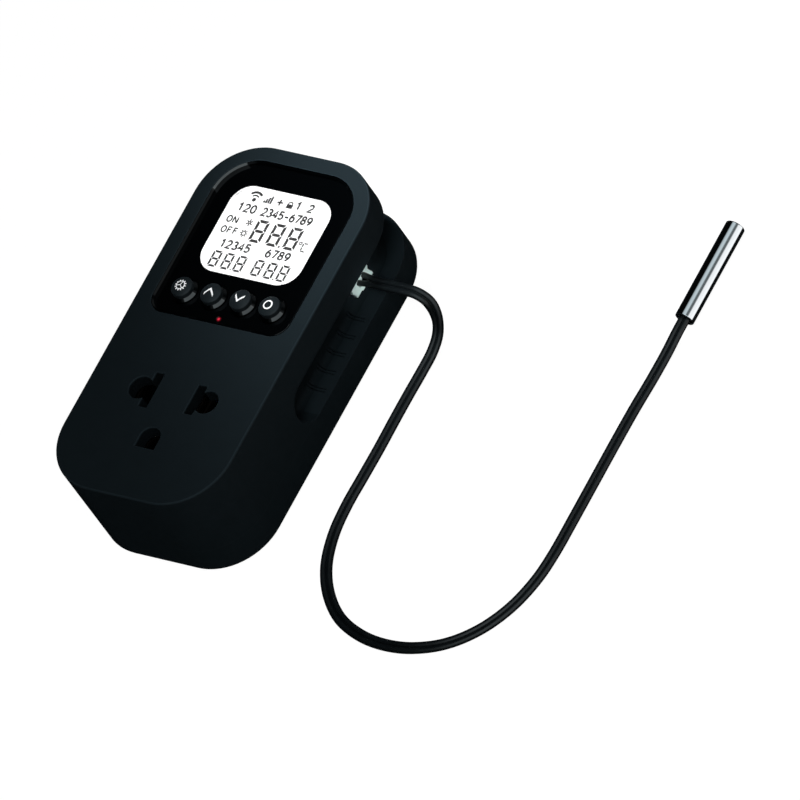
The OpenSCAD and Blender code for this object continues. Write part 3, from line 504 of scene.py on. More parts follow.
def painted_light_share(tree, coords):
    """Factor of the body's colour at each place: 1 + edge - painted_shade + ledge light. A painted
    highlight lightens the rounding of the front face, painted shade darkens the walls of the
    socket's openings, and painted light makes the grip's ledge paler."""
    height = add(tree, "SeparateXYZ", {}, {0: coords}).outputs["Z"]
    place = add(tree, "Mapping", {"Location": (0, -OPENINGS_MIDDLE, 0), "Scale": (1, 1, 0)},
                {"Vector": coords})
    off = add(tree, "VectorMath", {"operation": "LENGTH"}, {0: place})
    sizes = bpy.context.scene.controller_housing
    top = BODY_HIGH[2]
    rounding, hole = top - sizes.front_round, top - sizes.hole_round
    comes, goes, near, deep = (
        add(tree, "MapRange",
            {"From Min": start, "From Max": end, "To Min": first, "To Max": last},
            {"Value": value})
        for value, start, end, first, last in (
            (height, rounding - SHARE_FADE, rounding + SHARE_FADE, 0.0, PAINTED_EDGE_HIGHLIGHT),
            (height, top - SHARE_FADE, top - SHARE_FADE / 5, 1.0, 0.0),
            (off.outputs["Value"], *OPENINGS_REACH, PAINTED_OPENING_SHADE, 0.0),
            (height, hole - 2 * SHARE_FADE, top - 2 * SHARE_FADE, 1.0, 0.0)))
    # painted highlight on the front rounding, painted shade on the walls of the openings
    edge = add(tree, "Math", {"operation": "MULTIPLY"}, {0: comes, 1: goes})
    painted_shade = add(tree, "Math", {"operation": "MULTIPLY"}, {0: near, 1: deep})
    change = add(tree, "Math", {"operation": "SUBTRACT"}, {0: edge, 1: painted_shade})
    # painted light on the grip's ledge
    grip = add(tree, "Math", {"operation": "COMPARE", 1: sizes.groove_low, 2: SHARE_FADE},
               {0: height})
    share = add(tree, "Math", {"operation": "MULTIPLY_ADD", 1: PAINTED_LEDGE_LIGHT, 2: 1.0}, {0: grip})
    return add(tree, "Math", {"operation": "ADD"}, {0: share, 1: change})


def lit_display(colour):
    """Transflective display film over a white light guide, which gives an even white with the
    faint mesh of the film's cells."""
    material, tree, coords = blank("lit_display_film")
    cells = add(tree, "TexNoise", {"Scale": 1 / (0.5 * MM)}, {"Vector": coords})
    shade = add(tree, "Mix", {"data_type": "RGBA", 6: rgba(colour, 0.97), 7: rgba(colour)},
                {0: cells.outputs["Fac"]})
    shader = add(tree, "BsdfPrincipled",
                 {"Base Color": rgba(colour, 0.3), "Roughness": 0.5, "Emission Strength": 1.0},
                 {"Emission Color": shade.outputs[2]})
    return shown(material, tree, shader)


def clear_lens():
    """Injection moulded polycarbonate with a polished face: clear, with a sharp reflection."""
    material, tree, coords = blank("clear_polycarbonate_lens")
    flow = add(tree, "TexNoise", {"Scale": 1 / (9 * MM), "Detail": 1.0}, {"Vector": coords})
    bump = add(tree, "Bump", {"Strength": 0.05, "Distance": 0.02 * MM},
               {"Height": flow.outputs["Fac"]})
    shader = add(tree, "BsdfPrincipled", {"Base Color": (1, 1, 1, 1), "Roughness": 0.0, "IOR": 1.2,
                  "Transmission Weight": 1.0},
                 {"Normal": bump})
    return shown(material, tree, shader)


def red_light_pipe(colour):
    """Clear red acrylic lit from behind by the lamp, a small steady red point that fades to its
    rim with the distance from the pipe's axis. The panel beside it doesn't mirror its light."""
    material, tree, coords = blank("red_acrylic_light_pipe")
    place = add(tree, "Mapping",
                {"Location": (-PIPE_CENTRE[0], -PIPE_CENTRE[1], 0), "Scale": (1, 1, 0)},
                {"Vector": coords})
    off = add(tree, "VectorMath", {"operation": "LENGTH"}, {0: place})
    fade = add(tree, "MapRange", {"From Min": 0.2 * MM, "From Max": 0.44 * MM},
               {"Value": off.outputs["Value"]})
    shade = add(tree, "Mix", {"data_type": "RGBA", 6: rgba(colour), 7: rgba(colour, 0.08)},
                {0: fade})
    path = add(tree, "LightPath")
    power = add(tree, "MapRange", {"To Min": 0.0, "To Max": 0.8},
                {"Value": path.outputs["Is Camera Ray"]})
    shader = add(tree, "BsdfPrincipled", {"Base Color": rgba(colour, 0.02), "Roughness": 0.2},
                 {"Emission Color": shade.outputs[2], "Emission Strength": power})
    return shown(material, tree, shader)


def circuit_board():
    """Glass fibre laminate under green solder mask: copper runs show as paler raised lanes."""
    material, tree, coords = blank("green_solder_mask_board")
    cell = add(tree, "TexVoronoi",
               {"Scale": 1 / (3.2 * MM), "distance": "MANHATTAN", "feature": "F1"},
               {"Vector": coords})
    lane = add(tree, "MapRange", {"From Min": 0.42, "From Max": 0.5},
               {"Value": cell.outputs["Distance"]})
    shade = add(tree, "Mix",
                {"data_type": "RGBA", 6: rgba(srgb("1c5a3a")), 7: rgba(srgb("2f7d50"))},
                {0: lane})
    bump = add(tree, "Bump", {"Strength": 0.6, "Distance": 0.035 * MM}, {"Height": lane})
    shader = add(tree, "BsdfPrincipled", {"Roughness": 0.35, "Coat Weight": 0.4},
                 {"Base Color": shade.outputs[2], "Normal": bump})
    return shown(material, tree, shader)


def wound_tape():
    """Polyester film tape wound over the coil: glossy amber with the edge of each turn."""
    material, tree, coords = blank("amber_polyester_tape")
    turns = add(tree, "TexWave",
                {"Scale": 1 / (1.6 * MM) / TURN, "Distortion": 0.6, "bands_direction": "Z"},
                {"Vector": coords})
    shade = add(tree, "Mix",
                {"data_type": "RGBA", 6: rgba(srgb("b58a1c")), 7: rgba(srgb("dcb440"))},
                {0: turns.outputs["Fac"]})
    bump = add(tree, "Bump", {"Strength": 0.7, "Distance": 0.06 * MM},
               {"Height": turns.outputs["Fac"]})
    shader = add(tree, "BsdfPrincipled", {"Roughness": 0.28},
                 {"Base Color": shade.outputs[2], "Normal": bump})
    return shown(material, tree, shader)


def finishes(colours):
    """One material for each finish in the record, made from the real material and its making."""
    return {
        # spark eroded matt ABS, which breaks up the light; its colour carries painted highlight,
        # painted light and painted shade by place
        "housing_plastic": surface("matt_black_abs_painted_light", colours.body, (0.55, 0.66), 0.35, 0.012,
                                   share=painted_light_share, **{"Specular IOR Level": 0.1}),
        # polished acrylic, a deep black with a sharp reflection
        "panel_plastic": surface("piano_black_acrylic", colours.panel, (0.03, 0.06), 6.0, 0.001,
                                 spread=0.05, **{"Specular IOR Level": 0.9}),
        "window_lens": clear_lens(),
        "display_glass": lit_display(colours.display),
        # milky diffuser sheet, soft and even
        "backlight_diffuser": surface("milky_diffuser_sheet", srgb("eeeeea"), (0.4, 0.5), 0.6,
                                      0.004, spread=0.02),
        # satin ABS with a fine texture, softer highlights than the panel
        "key_plastic": surface("satin_black_abs", colours.key, (0.45, 0.55), 0.25, 0.003,
                               **{"Specular IOR Level": 0.3}),
        # the polished foot of each key, deep black with a hard glint
        "key_foot": surface("polished_black_abs", colours.panel, (0.04, 0.08), 0.6, 0.001,
                            spread=0.05, **{"Specular IOR Level": 0.75}),
        # nylon straight from the mould, a dull grey black
        "switch_stem": surface("dark_moulded_nylon", srgb("2c2d2f"), (0.45, 0.6), 0.2, 0.004),
        # stamped tinned steel with faint lines from the roll
        "switch_can": surface("stamped_tinned_steel", srgb("c4c6c8"), (0.25, 0.4), 0.12, 0.003,
                              stretch=(1, 8, 1), Metallic=1.0),
        "red_light": red_light_pipe(colours.indicator),
        "circuit_board": circuit_board(),
        # nylon from a plain mould, evenly dull and black
        "black_moulding": surface("black_moulded_nylon", srgb("17181a"), (0.4, 0.55), 0.3, 0.006),
        # glass filled polyester case, slightly mottled
        "relay_case": surface("blue_polyester_case", srgb("1c4795"), (0.25, 0.4), 0.4, 0.004),
        # pressed and fired powder, grey black and finely pitted
        "ferrite": surface("sintered_ferrite", srgb("35353a"), (0.5, 0.75), 0.15, 0.02,
                           spread=0.3, Metallic=0.3),
        "winding_tape": wound_tape(),
        # pressed resin, dark brown with a soft gloss
        "fuse_case": surface("brown_phenolic_case", srgb("5b3b22"), (0.3, 0.5), 0.3, 0.005),
        # polyamide in its own ivory colour, softly matt
        "carrier_plastic": surface("ivory_polyamide", srgb("d6d0bf"), (0.4, 0.55), 0.35, 0.006,
                                   spread=0.05),
        # rolled strip, with lines along the roll and a little tarnish, its colour darkened nearly
        # to black as painted shade of the deep openings it sits in
        "contact_bronze": surface("phosphor_bronze_painted_shade", srgb("1f1a17"), (0.5, 0.7), 0.15,
                                  0.003, spread=0.25, stretch=(6, 6, 1), Metallic=1.0),
        # turned and tumbled brass, bright with fine lines along its length
        "blade_brass": surface("tumbled_brass", colours.brass, (0.2, 0.34), 0.1, 0.002,
                               spread=0.12, stretch=(4, 4, 1), Metallic=1.0),
        # natural nylon, slightly translucent and waxy
        "connector_nylon": surface("natural_nylon", colours.connector, (0.35, 0.5), 0.4, 0.004,
                                   spread=0.05, **{"Subsurface Weight": 0.15,
                                                   "Subsurface Radius": (0.6 * MM,) * 3}),
        # drawn and hot tinned wire, bright and smooth
        "tinned_pin": surface("bright_tinned_pin", srgb("d6d8da"), (0.15, 0.25), 0.2, 0.001,
                              Metallic=1.0),
        # extruded soft vinyl, with a low sheen
        "cord_jacket": surface("extruded_black_vinyl", colours.cord, (0.32, 0.45), 0.3, 0.004,
                               **{"Specular IOR Level": 0.5}),
        # drawn and polished tube, faint lines along its length
        "probe_steel": surface("polished_stainless", colours.steel, (0.06, 0.12), 0.08, 0.0006,
                               spread=0.03, stretch=(1, 0.02, 1), Metallic=1.0),
        # cured resin, uneven where it met the tube
        "potting": surface("black_epoxy_potting", srgb("0c0d0e"), (0.25, 0.45), 0.5, 0.03),
        # rolled and zinc plated, a cool grey with a soft shine
        "screw_steel": surface("zinc_plated_steel", srgb("a9abae"), (0.3, 0.45), 0.1, 0.003,
                               spread=0.1, Metallic=1.0),
        # screen printed white ink, dry and slightly raised, with a painted glow: it emits light
        # though it is no lamp
        "mark_ink": surface("white_screen_ink_painted_glow", colours.mark, (0.45, 0.6), 0.1, 0.003,
                            spread=0.03, **{"Emission Color": rgba(colours.mark),
                                            "Emission Strength": 0.25}),
        # liquid crystal segments in their dark state
        "segment_ink": surface("dark_liquid_crystal", colours.segment, (0.3, 0.4), 0.1, 0.001,
                               spread=0.1),
    }


def finish(slot):
    """The material made for a finish, by the name that the stage kept for it."""
    return bpy.data.materials[bpy.context.scene["controller_finishes"][slot]]


# Stage: view of the photograph, lamps, floor and world

# axes of the photograph's camera, the point in the middle of its picture, and the width there
VIEW_RIGHT = (0.7939, 0.4520, -0.4066)
VIEW_UP = (-0.1813, 0.8144, 0.5515)
VIEW_BACK = (0.5804, -0.3641, 0.7284)
VIEW_AIM = (0.04111, 0.02234, 0.00641)
VIEW_WIDTH = 0.1818
# how far away the camera stands, and the width of its sensor in millimetres
VIEW_DISTANCE = 5.0
SENSOR = 36.0

# soft lamps: place, aim, width and power
LAMPS = {
    "fill_lamp": ((0.4, -0.35, 0.85), (0.04, 0.02, 0.0), 0.4, 3.1),
    "rear_lamp": ((0.1, -0.15, -0.6), (0.0, 0.02, 0.0), 0.3, 3.0),
    "left_lamp": ((-0.8, 0.4, 0.0), (0.0, 0.02, 0.0), 0.4, 3.0),
}
# spots: place, aim, width, power and cone. One over the upper right of the face, which fades
# towards its foot, and a narrow one on the connector
SPOTS = {
    "top_lamp": ((-0.0115, 0.071, 0.12), (0.096, 0.093, 0.028), 0.03, 0.92, 2.4),
    "port_lamp": ((0.25, 0.0, 0.1), (0.021, 0.0456, 0.0142), 0.01, 2.6, 0.045),
}
WHITE = (1, 1, 1, 1)
# light that the world adds on what doesn't shine
WORLD_LIGHT = 0.02
# what shines sees of the room, from left to right: share of the width and grey
ROOM = ((0.355, 0.002), (0.41, 0.42), (0.5, 0.62), (0.65, 0.68), (0.755, 0.13), (0.86, 0.13))
ROOM_WHITE = 0.92
ROOM_TINT = (0.84, 0.96, 1.0)
# light of the card beside the camera, and the cosines where its edge starts and ends
CARD_LIGHT = 1.1
CARD_EDGE = (0.765, 0.785)
# the room lies in a band round the direction that the probe mirrors, and is dim outside it
BAND_SHARE = 0.364
BAND_EDGE = (0.12, 0.2)
BAND_DIM = 0.12
# the floor: its radius, how far below the rear it lies, and how far inside the body its opening
# is, with the radius of the opening's corners
FLOOR_RADIUS = 3.0
FLOOR_DROP = 0.1 * MM
FLOOR_OPENING = 4 * MM
FLOOR_CORNER = 11 * MM
# greys of the floor as the object's underside, a shiny surface and the camera see it, and the
# light that lifts the last to white
FLOOR_GREY = (0.3, 0.3, 0.3, 1)
FLOOR_MIRRORED = (0.01, 0.012, 0.013, 1)
FLOOR_SEEN = (0.15, 0.15, 0.15, 1)
FLOOR_GLOW = 0.965
# how far past the probe the floor starts to look white in what shines, and over what distance
PAST_PROBE = 4 * MM
PAST_FADE = 1 * MM


class CONTROLLER_OT_stage(Operator):
    """Adds the camera, the lamps, the world and the floor, and makes the finishes"""
    bl_idname = "controller.stage"
    bl_label = "Stage"

    def execute(self, context):
        scene = context.scene
        scene.view_settings.view_transform = "Standard"
        made = finishes(scene.controller_colours)
        scene["controller_finishes"] = {slot: m.name for slot, m in made.items()}
        self.camera(scene)
        self.lamps(scene)
        self.world(scene)
        self.floor(scene)
        return {"FINISHED"}

    def camera(self, scene):
        data = bpy.data.cameras.new("photo_camera")
        data.sensor_width = SENSOR
        data.lens = SENSOR * VIEW_DISTANCE / VIEW_WIDTH
        data.clip_end = 4 * VIEW_DISTANCE
        camera = bpy.data.objects.new("photo_camera", data)
        turn = Matrix((VIEW_RIGHT, VIEW_UP, VIEW_BACK)).transposed().to_4x4()
        place = Vector(VIEW_AIM) + VIEW_DISTANCE * Vector(VIEW_BACK).normalized()
        camera.matrix_world = Matrix.Translation(place) @ turn
        scene.collection.objects.link(camera)
        scene.camera = camera

    def lamps(self, scene):
        for name, (place, aim, width, power) in LAMPS.items():
            data = bpy.data.lights.new(name, "AREA")
            data.shape = "DISK"
            data.size = width
            self.lamp(scene, data, place, aim, power)
        for name, (place, aim, width, power, cone) in SPOTS.items():
            data = bpy.data.lights.new(name, "SPOT")
            data.spot_size, data.spot_blend = cone, 1.0
            data.shadow_soft_size = width / 2
            self.lamp(scene, data, place, aim, power)

    def lamp(self, scene, data, place, aim, power):
        data.energy = power
        lamp = bpy.data.objects.new(data.name, data)
        back = Vector(place) - Vector(aim)
        lamp.matrix_world = (Matrix.Translation(Vector(place))
                             @ back.to_track_quat("Z", "Y").to_matrix().to_4x4())
        lamp.visible_camera = False
        lamp.visible_glossy = False
        scene.collection.objects.link(lamp)

    def world(self, scene):
        """White behind the object. What shines sees a dark room with a white wall to the right, a
        pale ceiling and a small panel of light beside the camera."""
        world = bpy.data.worlds.new("studio")
        world.use_nodes = True
        tree = world.node_tree
        tree.nodes.clear()
        coords = add(tree, "TexCoord").outputs["Generated"]
        apart = add(tree, "SeparateXYZ", {}, {0: coords})
        across = add(tree, "MapRange", {"From Min": -1.0, "From Max": 1.0},
                     {"Value": apart.outputs["X"]})
        room = add(tree, "ValToRGB", {}, {0: across})
        stops = room.color_ramp.elements
        stops[1].position = ROOM_WHITE
        for place, grey in ROOM:
            stop = stops.new(place)
            stop.color = rgba(ROOM_TINT, grey)
        stops[0].color = rgba(ROOM_TINT, ROOM[0][1])
        stops[len(stops) - 1].color = WHITE
        toward = add(tree, "VectorMath", {"operation": "DOT_PRODUCT", 1: VIEW_BACK}, {0: coords})
        card = add(tree, "MapRange",
                   {"From Min": CARD_EDGE[0], "From Max": CARD_EDGE[1], "To Max": CARD_LIGHT},
                   {"Value": toward.outputs["Value"]})
        path = add(tree, "LightPath")
        plain = add(tree, "Background", {"Color": WHITE, "Strength": WORLD_LIGHT})
        off = add(tree, "Math", {"operation": "SUBTRACT", 1: BAND_SHARE}, {0: apart.outputs["Y"]})
        off = add(tree, "Math", {"operation": "ABSOLUTE"}, {0: off})
        band_light = add(tree, "MapRange",
                         {"From Min": BAND_EDGE[0], "From Max": BAND_EDGE[1], "To Min": 1.0,
                          "To Max": BAND_DIM}, {"Value": off})
        shiny = add(tree, "Background", {}, {"Color": room, "Strength": band_light})
        panel = add(tree, "Background", {"Color": rgba(ROOM_TINT)}, {"Strength": card})
        both = add(tree, "AddShader", {}, {0: shiny, 1: panel})
        white = add(tree, "Background", {"Color": WHITE, "Strength": 1.0})
        mirrored = add(tree, "MixShader", {},
                       {0: path.outputs["Is Glossy Ray"], 1: plain, 2: both})
        seen = add(tree, "Math", {"operation": "MAXIMUM"},
                   {0: path.outputs["Is Camera Ray"], 1: path.outputs["Is Transmission Ray"]})
        mixed = add(tree, "MixShader", {}, {0: seen, 1: mirrored, 2: white})
        add(tree, "OutputWorld", {}, {"Surface": mixed})
        scene.world = world

    def floor(self, scene):
        """Pale floor in the plane of the rear face, open below the body where the plug goes
        through, and seen from above only. What shines sees it dark beside the object and white
        past the probe."""
        inner = tablet(BODY_LOW + FLOOR_OPENING, BODY_HIGH - FLOOR_OPENING, FLOOR_CORNER,
                       FLOOR_CORNER)
        verts, tris = fill(ring(VIEW_AIM, FLOOR_RADIUS), [inner], -FLOOR_DROP)
        mesh = bpy.data.meshes.new("floor")
        mesh.from_pydata(verts.tolist(), [], tris.tolist())
        material, tree, coords = blank("pale_floor")
        path = add(tree, "LightPath")
        side = add(tree, "NewGeometry")
        apart = add(tree, "SeparateXYZ", {}, {0: coords})
        start = PROBE_HIGH[0] + PAST_PROBE
        past = add(tree, "MapRange", {"From Min": start, "From Max": start + PAST_FADE},
                   {"Value": apart.outputs["X"]})
        plain = add(tree, "BsdfDiffuse", {"Color": FLOOR_GREY})
        dark = add(tree, "BsdfDiffuse", {"Color": FLOOR_MIRRORED})
        plain = add(tree, "MixShader", {}, {0: path.outputs["Is Glossy Ray"], 1: plain, 2: dark})
        dim = add(tree, "BsdfDiffuse", {"Color": FLOOR_SEEN})
        glow = add(tree, "Emission", {"Color": WHITE, "Strength": FLOOR_GLOW})
        pale = add(tree, "AddShader", {}, {0: dim, 1: glow})
        beside = add(tree, "Math", {"operation": "MULTIPLY"},
                     {0: path.outputs["Is Glossy Ray"], 1: past})
        seen = add(tree, "Math", {"operation": "MAXIMUM"},
                   {0: path.outputs["Is Camera Ray"], 1: path.outputs["Is Transmission Ray"]})
        seen = add(tree, "Math", {"operation": "MAXIMUM"}, {0: seen, 1: beside})
        top = add(tree, "MixShader", {}, {0: seen, 1: plain, 2: pale})
        none = add(tree, "BsdfTransparent")
        whole = add(tree, "MixShader", {}, {0: side.outputs["Backfacing"], 1: top, 2: none})
        mesh.materials.append(shown(material, tree, whole))
        obj = bpy.data.objects.new("floor", mesh)
        scene.collection.objects.link(obj)


# Sensor lead

# route of the cord from the plug to the probe
CORD_ROUTE = MM * np.array([
    [21.0, 45.8, 15.1],
    [25, 45.65, 15.1], [29, 45.6, 15.1], [33, 45.65, 15], [36.8, 45.75, 14.2],
    [39.1, 45.5, 11.5], [39.9, 44.2, 7.6], [39.7, 41.9, 4.2], [39.0, 38.2, 1.9],
    [38.4, 33, 1.0], [38.1, 27, 0.75], [38.1, 20, 0.75], [38.2, 12, 0.75], [38.1, 4, 0.75],
    [38.0, -4, 0.75], [38.8, -12, 0.75], [41.3, -19.9, 0.75], [45.8, -26.7, 0.75],
    [52.1, -32.1, 0.75], [59.7, -35.1, 0.75], [67.3, -36, 0.75], [74.9, -35.1, 0.75],
    [82.5, -32.1, 0.75], [88.9, -26.8, 0.75], [93.5, -19.8, 0.75], [96.1, -11.9, 0.75],
    [97.0, -4, 0.75], [97.1, 6, 0.75], [97.1, 16, 0.75], [97.1, 26, 0.75],
    [97.2, 36, 0.75], [97.6, 44, 0.85], [98.1, 51, 1.4], [98.5, 56.5, 2.2],
    [98.6, 60.8, 2.35],
])
# steps of the curve between two points of the route, sides of the cord and of a slit core,
# stations of a slit core and steps of a round edge of the probe
CORD_STEPS = 6
CORD_SIDES = 48
CORE_SIDES = 24
CORE_STATIONS = 9
PROBE_STEPS = 8
# the web's rays end as at this sine where they lie flatter, and a corner of the plug's arch is
# drawn in no further than at this cosine
WEB_SINE = 0.3
ARCH_COSINE = 0.5
# length of cord that is slit into its two cores at the plug, half of their distance there, and
# how far they run on inside the flat cord
SLIT = 2.4 * MM
CORES_APART = 1.12 * MM
CORE_SINK = 0.5 * MM
# how much thinner than the flat cord's cores the slit ones are, as a radius
CORE_LESS = 0.03 * MM
# the plug's core: half its width and height, its wall and its edges' rounding
PLUG_HALF_Y = 2.83 * MM
PLUG_HALF_Z = 1.95 * MM
PLUG_WALL = 0.7 * MM
PLUG_ROUND = 0.12 * MM
# the plug's rear end: how long it is, how deep its pocket reaches, the chamfer of its edges, and
# its arch as points y, z from the middle, in millimetres
PLUG_NECK = 1.1 * MM
PLUG_POCKET = 3.4 * MM
PLUG_CHAMFER = 0.1 * MM
PLUG_ARCH = (
    (3.62, 2.8), (3.62, 0.3), (3.15, -0.35), (3.3, -1.1), (3.7, -2.2), (3.7, -2.9), (2.5, -2.9),
    (1.5, -0.45), (1.3, 0.36), (0.5, 0.36), (0.4, -0.55), (-0.35, -0.75), (-0.55, 0.36),
    (-1.75, 0.36), (-1.6, -1.4), (-0.25, -1.8), (-0.25, -2.98), (-1.3, -2.98), (-1.4, -2.55),
    (-3.55, -2.55), (-3.75, -1.4), (-4.05, -0.9), (-4.05, 0.5), (-3.6, 1.0), (-3.6, 2.8),
)


def smooth_line(route, steps):
    """Curve through a route's points: the cubic blend of four neighbours on each stretch."""
    padded = np.concatenate([route[:1], route, route[-1:]])
    t = (np.arange(steps) / steps)[None, :, None]
    a, b, c, d = (padded[k:k + len(route) - 1, None] for k in range(4))
    curve = 0.5 * (2 * b + (c - a) * t + (2 * a - 5 * b + 4 * c - d) * t ** 2
                   + (3 * b - a - 3 * c + d) * t ** 3)
    return np.concatenate([curve.reshape(-1, 3), route[-1:]])


class CONTROLLER_OT_lead(Operator):
    """Adds the flat cord, its connector and the steel probe"""
    bl_idname = "controller.lead"
    bl_label = "Sensor lead"

    def execute(self, context):
        lead = context.scene.controller_lead
        plug = self.plug()
        sleeve = self.sleeve(lead)
        line = smooth_line(CORD_ROUTE, CORD_STEPS)
        cord = self.cord(lead, line)
        inner = CORD_ROUTE[0][0] - PLUG_POCKET - 2 * CORE_SINK
        patches = self.cores(lead, inner, CORD_ROUTE[0][0])
        tail = piece("cord_tail", patches, finish("cord_jacket"), "sensor_lead")
        return {"FINISHED"}

    def cord(self, lead, line):
        """Two round cores side by side with a thin web: each ray of the section ends at the
        farther of its exits from the cores, 2 r |cos t|, and from the web, web / 2 |sin t|.
        Near the plug the web is slit and the two cores run apart."""
        ray = circle(CORD_SIDES)
        web = lead.web / 2 / np.maximum(np.abs(ray[:, 1:]), WEB_SINE)
        section = np.maximum(lead.core * np.abs(ray[:, :1]), web) * ray
        start = line[0][0]
        line = line[line[:, 0] > start + SLIT]
        heading = np.gradient(line, axis=0)
        heading[-1] = (0, 1, 0)
        side = np.column_stack([-heading[:, 1], heading[:, 0], 0 * heading[:, 0]])
        side /= np.linalg.norm(side, axis=1, keepdims=True)
        patches = self.capped(sweep(section, line, side, (0, 1, 0)))
        patches += self.cores(lead, start, line[0][0] + CORE_SINK)
        return piece("lead_cord", patches, finish("cord_jacket"), "sensor_lead",
                     ("sensor_cable",))

    def cores(self, lead, start, end):
        """The two slit cores between two places along x. Their distance falls from that of the
        plug's contacts to that of the flat cord by the blend u * u * (3 - 2 u)."""
        section = (lead.core / 2 - CORE_LESS) * circle(CORE_SIDES)
        x = np.linspace(start, end, CORE_STATIONS)
        u = np.clip((x - CORD_ROUTE[0][0]) / (SLIT + CORE_SINK), 0, 1)
        apart = CORES_APART + (lead.core / 2 - CORES_APART) * u * u * (3 - 2 * u)
        side = np.tile((0.0, 1.0, 0.0), (len(x), 1))
        patches = []
        for sign in (-1, 1):
            line = np.column_stack([x, CORD_ROUTE[0][1] + sign * apart,
                                    np.full(len(x), CORD_ROUTE[0][2])])
            patches += self.capped(sweep(section, line, side))
        return patches

    def capped(self, rings):
        """A tube of rings with both its ends closed to their middle."""
        ends = [np.stack([rings[k], np.repeat(rings[k].mean(0)[None], rings.shape[1], 0)])
                for k in (0, -1)]
        return [grid(rings, close_cols=True)] + [grid(e, close_cols=True) for e in ends]

    def sleeve(self, lead):
        """Thin tube with a closed, rounded tip, turned round the probe's axis."""
        centre = (PROBE_LOW + PROBE_HIGH) / 2
        radius = (PROBE_HIGH[0] - PROBE_LOW[0]) / 2
        bore = radius - lead.probe_wall
        start, tip = PROBE_LOW[1], PROBE_HIGH[1]
        lip = lead.probe_wall / 3
        a = np.linspace(0, np.pi / 2, PROBE_STEPS + 1)
        turn = lead.probe_round
        outside = [(radius - lip + lip * np.sin(x), start + lip - lip * np.cos(x)) for x in a]
        nose = [(radius - turn + turn * np.cos(x), tip - turn + turn * np.sin(x)) for x in a]
        inside_end = [(0.0, tip), (0.0, tip - lead.probe_wall), (bore, tip - lead.probe_wall)]
        mouth = [(bore + lip - lip * np.sin(x), start + lip - lip * np.cos(x)) for x in a[::-1]]
        profile = np.array(outside + nose + inside_end + mouth + outside[:1])
        verts, faces = revolve(profile, (0, 0, 0))
        verts = np.column_stack([centre[0] + verts[:, 0], verts[:, 2], centre[2] - verts[:, 1]])
        return piece("probe_tube", [(verts, faces)], finish("probe_steel"), "sensor_lead",
                     ("probe_sleeve",), crease=30)

    def plug(self):
        """Nylon connector: a core that fits the header, with a pocket for the wires, and an arch
        at its rear, drawn as an outline and carried along x, its edges chamfered."""
        rear = np.array((PLUG_HIGH[0], *(PLUG_LOW + PLUG_HIGH)[1:] / 2))
        deep = PLUG_HIGH[0] - PLUG_LOW[0]
        y, z = PLUG_HALF_Y, PLUG_HALF_Z
        start, end = -PLUG_POCKET - PLUG_WALL, PLUG_WALL - PLUG_NECK
        blocks = (
            ((-deep, -y, -z), (-PLUG_POCKET, y, z)),
            ((start, -y, -z), (end, PLUG_WALL - y, z)),
            ((start, y - PLUG_WALL, -z), (end, y, z)),
            ((start, -y, z - PLUG_WALL), (end, y, z)),
        )
        patches = [p for low, high in blocks
                   for p in soft_box(rear + low, rear + high, PLUG_ROUND)]
        arch = MM * np.array(PLUG_ARCH)
        ahead = np.roll(arch, -1, axis=0) - arch
        ahead /= np.linalg.norm(ahead, axis=1, keepdims=True)
        normal = np.column_stack([-ahead[:, 1], ahead[:, 0]])
        corner = normal + np.roll(normal, 1, axis=0)
        corner /= np.maximum((corner * normal).sum(1, keepdims=True), ARCH_COSINE)
        drawn = arch + PLUG_CHAMFER * corner * inward(arch)
        loops = [(drawn, -PLUG_NECK), (arch, PLUG_CHAMFER - PLUG_NECK), (arch, -PLUG_CHAMFER),
                 (drawn, 0.0)]
        rows = np.stack([np.column_stack([np.full(len(p), x), p]) + rear for p, x in loops])
        patches.append(grid(rows, close_cols=True))
        for x in (-PLUG_NECK, 0.0):
            points, faces = fill(drawn, [], x)
            patches.append((points[:, [2, 0, 1]] + rear, faces))
        return piece("connector_plug", patches, finish("connector_nylon"), "sensor_lead",
                     ("sensor_plug",), crease=30)


# Housing

# how far the groove's patch reaches past its edge, and the stretches of its half section
GROOVE_REACH = 1.4 * MM
GROOVE_STEPS = 32
# stretches of a straight end of the body, and of its sides above the groove's lower ends
END_STEPS = 4
SIDE_STEPS = 8
# number of grip slots, and the run of a cut's sides and of its end
SLOT_COUNT = 5
CUT_SLOPE = 0.03 * MM
CUT_END = 0.04 * MM
# the cove below the overhang is smaller than the ledge's
COVE_SHARE = 0.45
# where the rays of the openings' outlines start: past a slot's middle, below the arch's centre
SLOT_ORIGIN = 0.85 * MM
ARCH_ORIGIN = 0.6 * MM
# points of half a groove's section that lie on its floor
FLOOR_POINTS = 3
# values closer than this are the same, and heights are rounded to as many places; a face this
# near to a plane lies in it
SAME = 1e-9
PLACES = 9
IN_PLANE = 1e-6


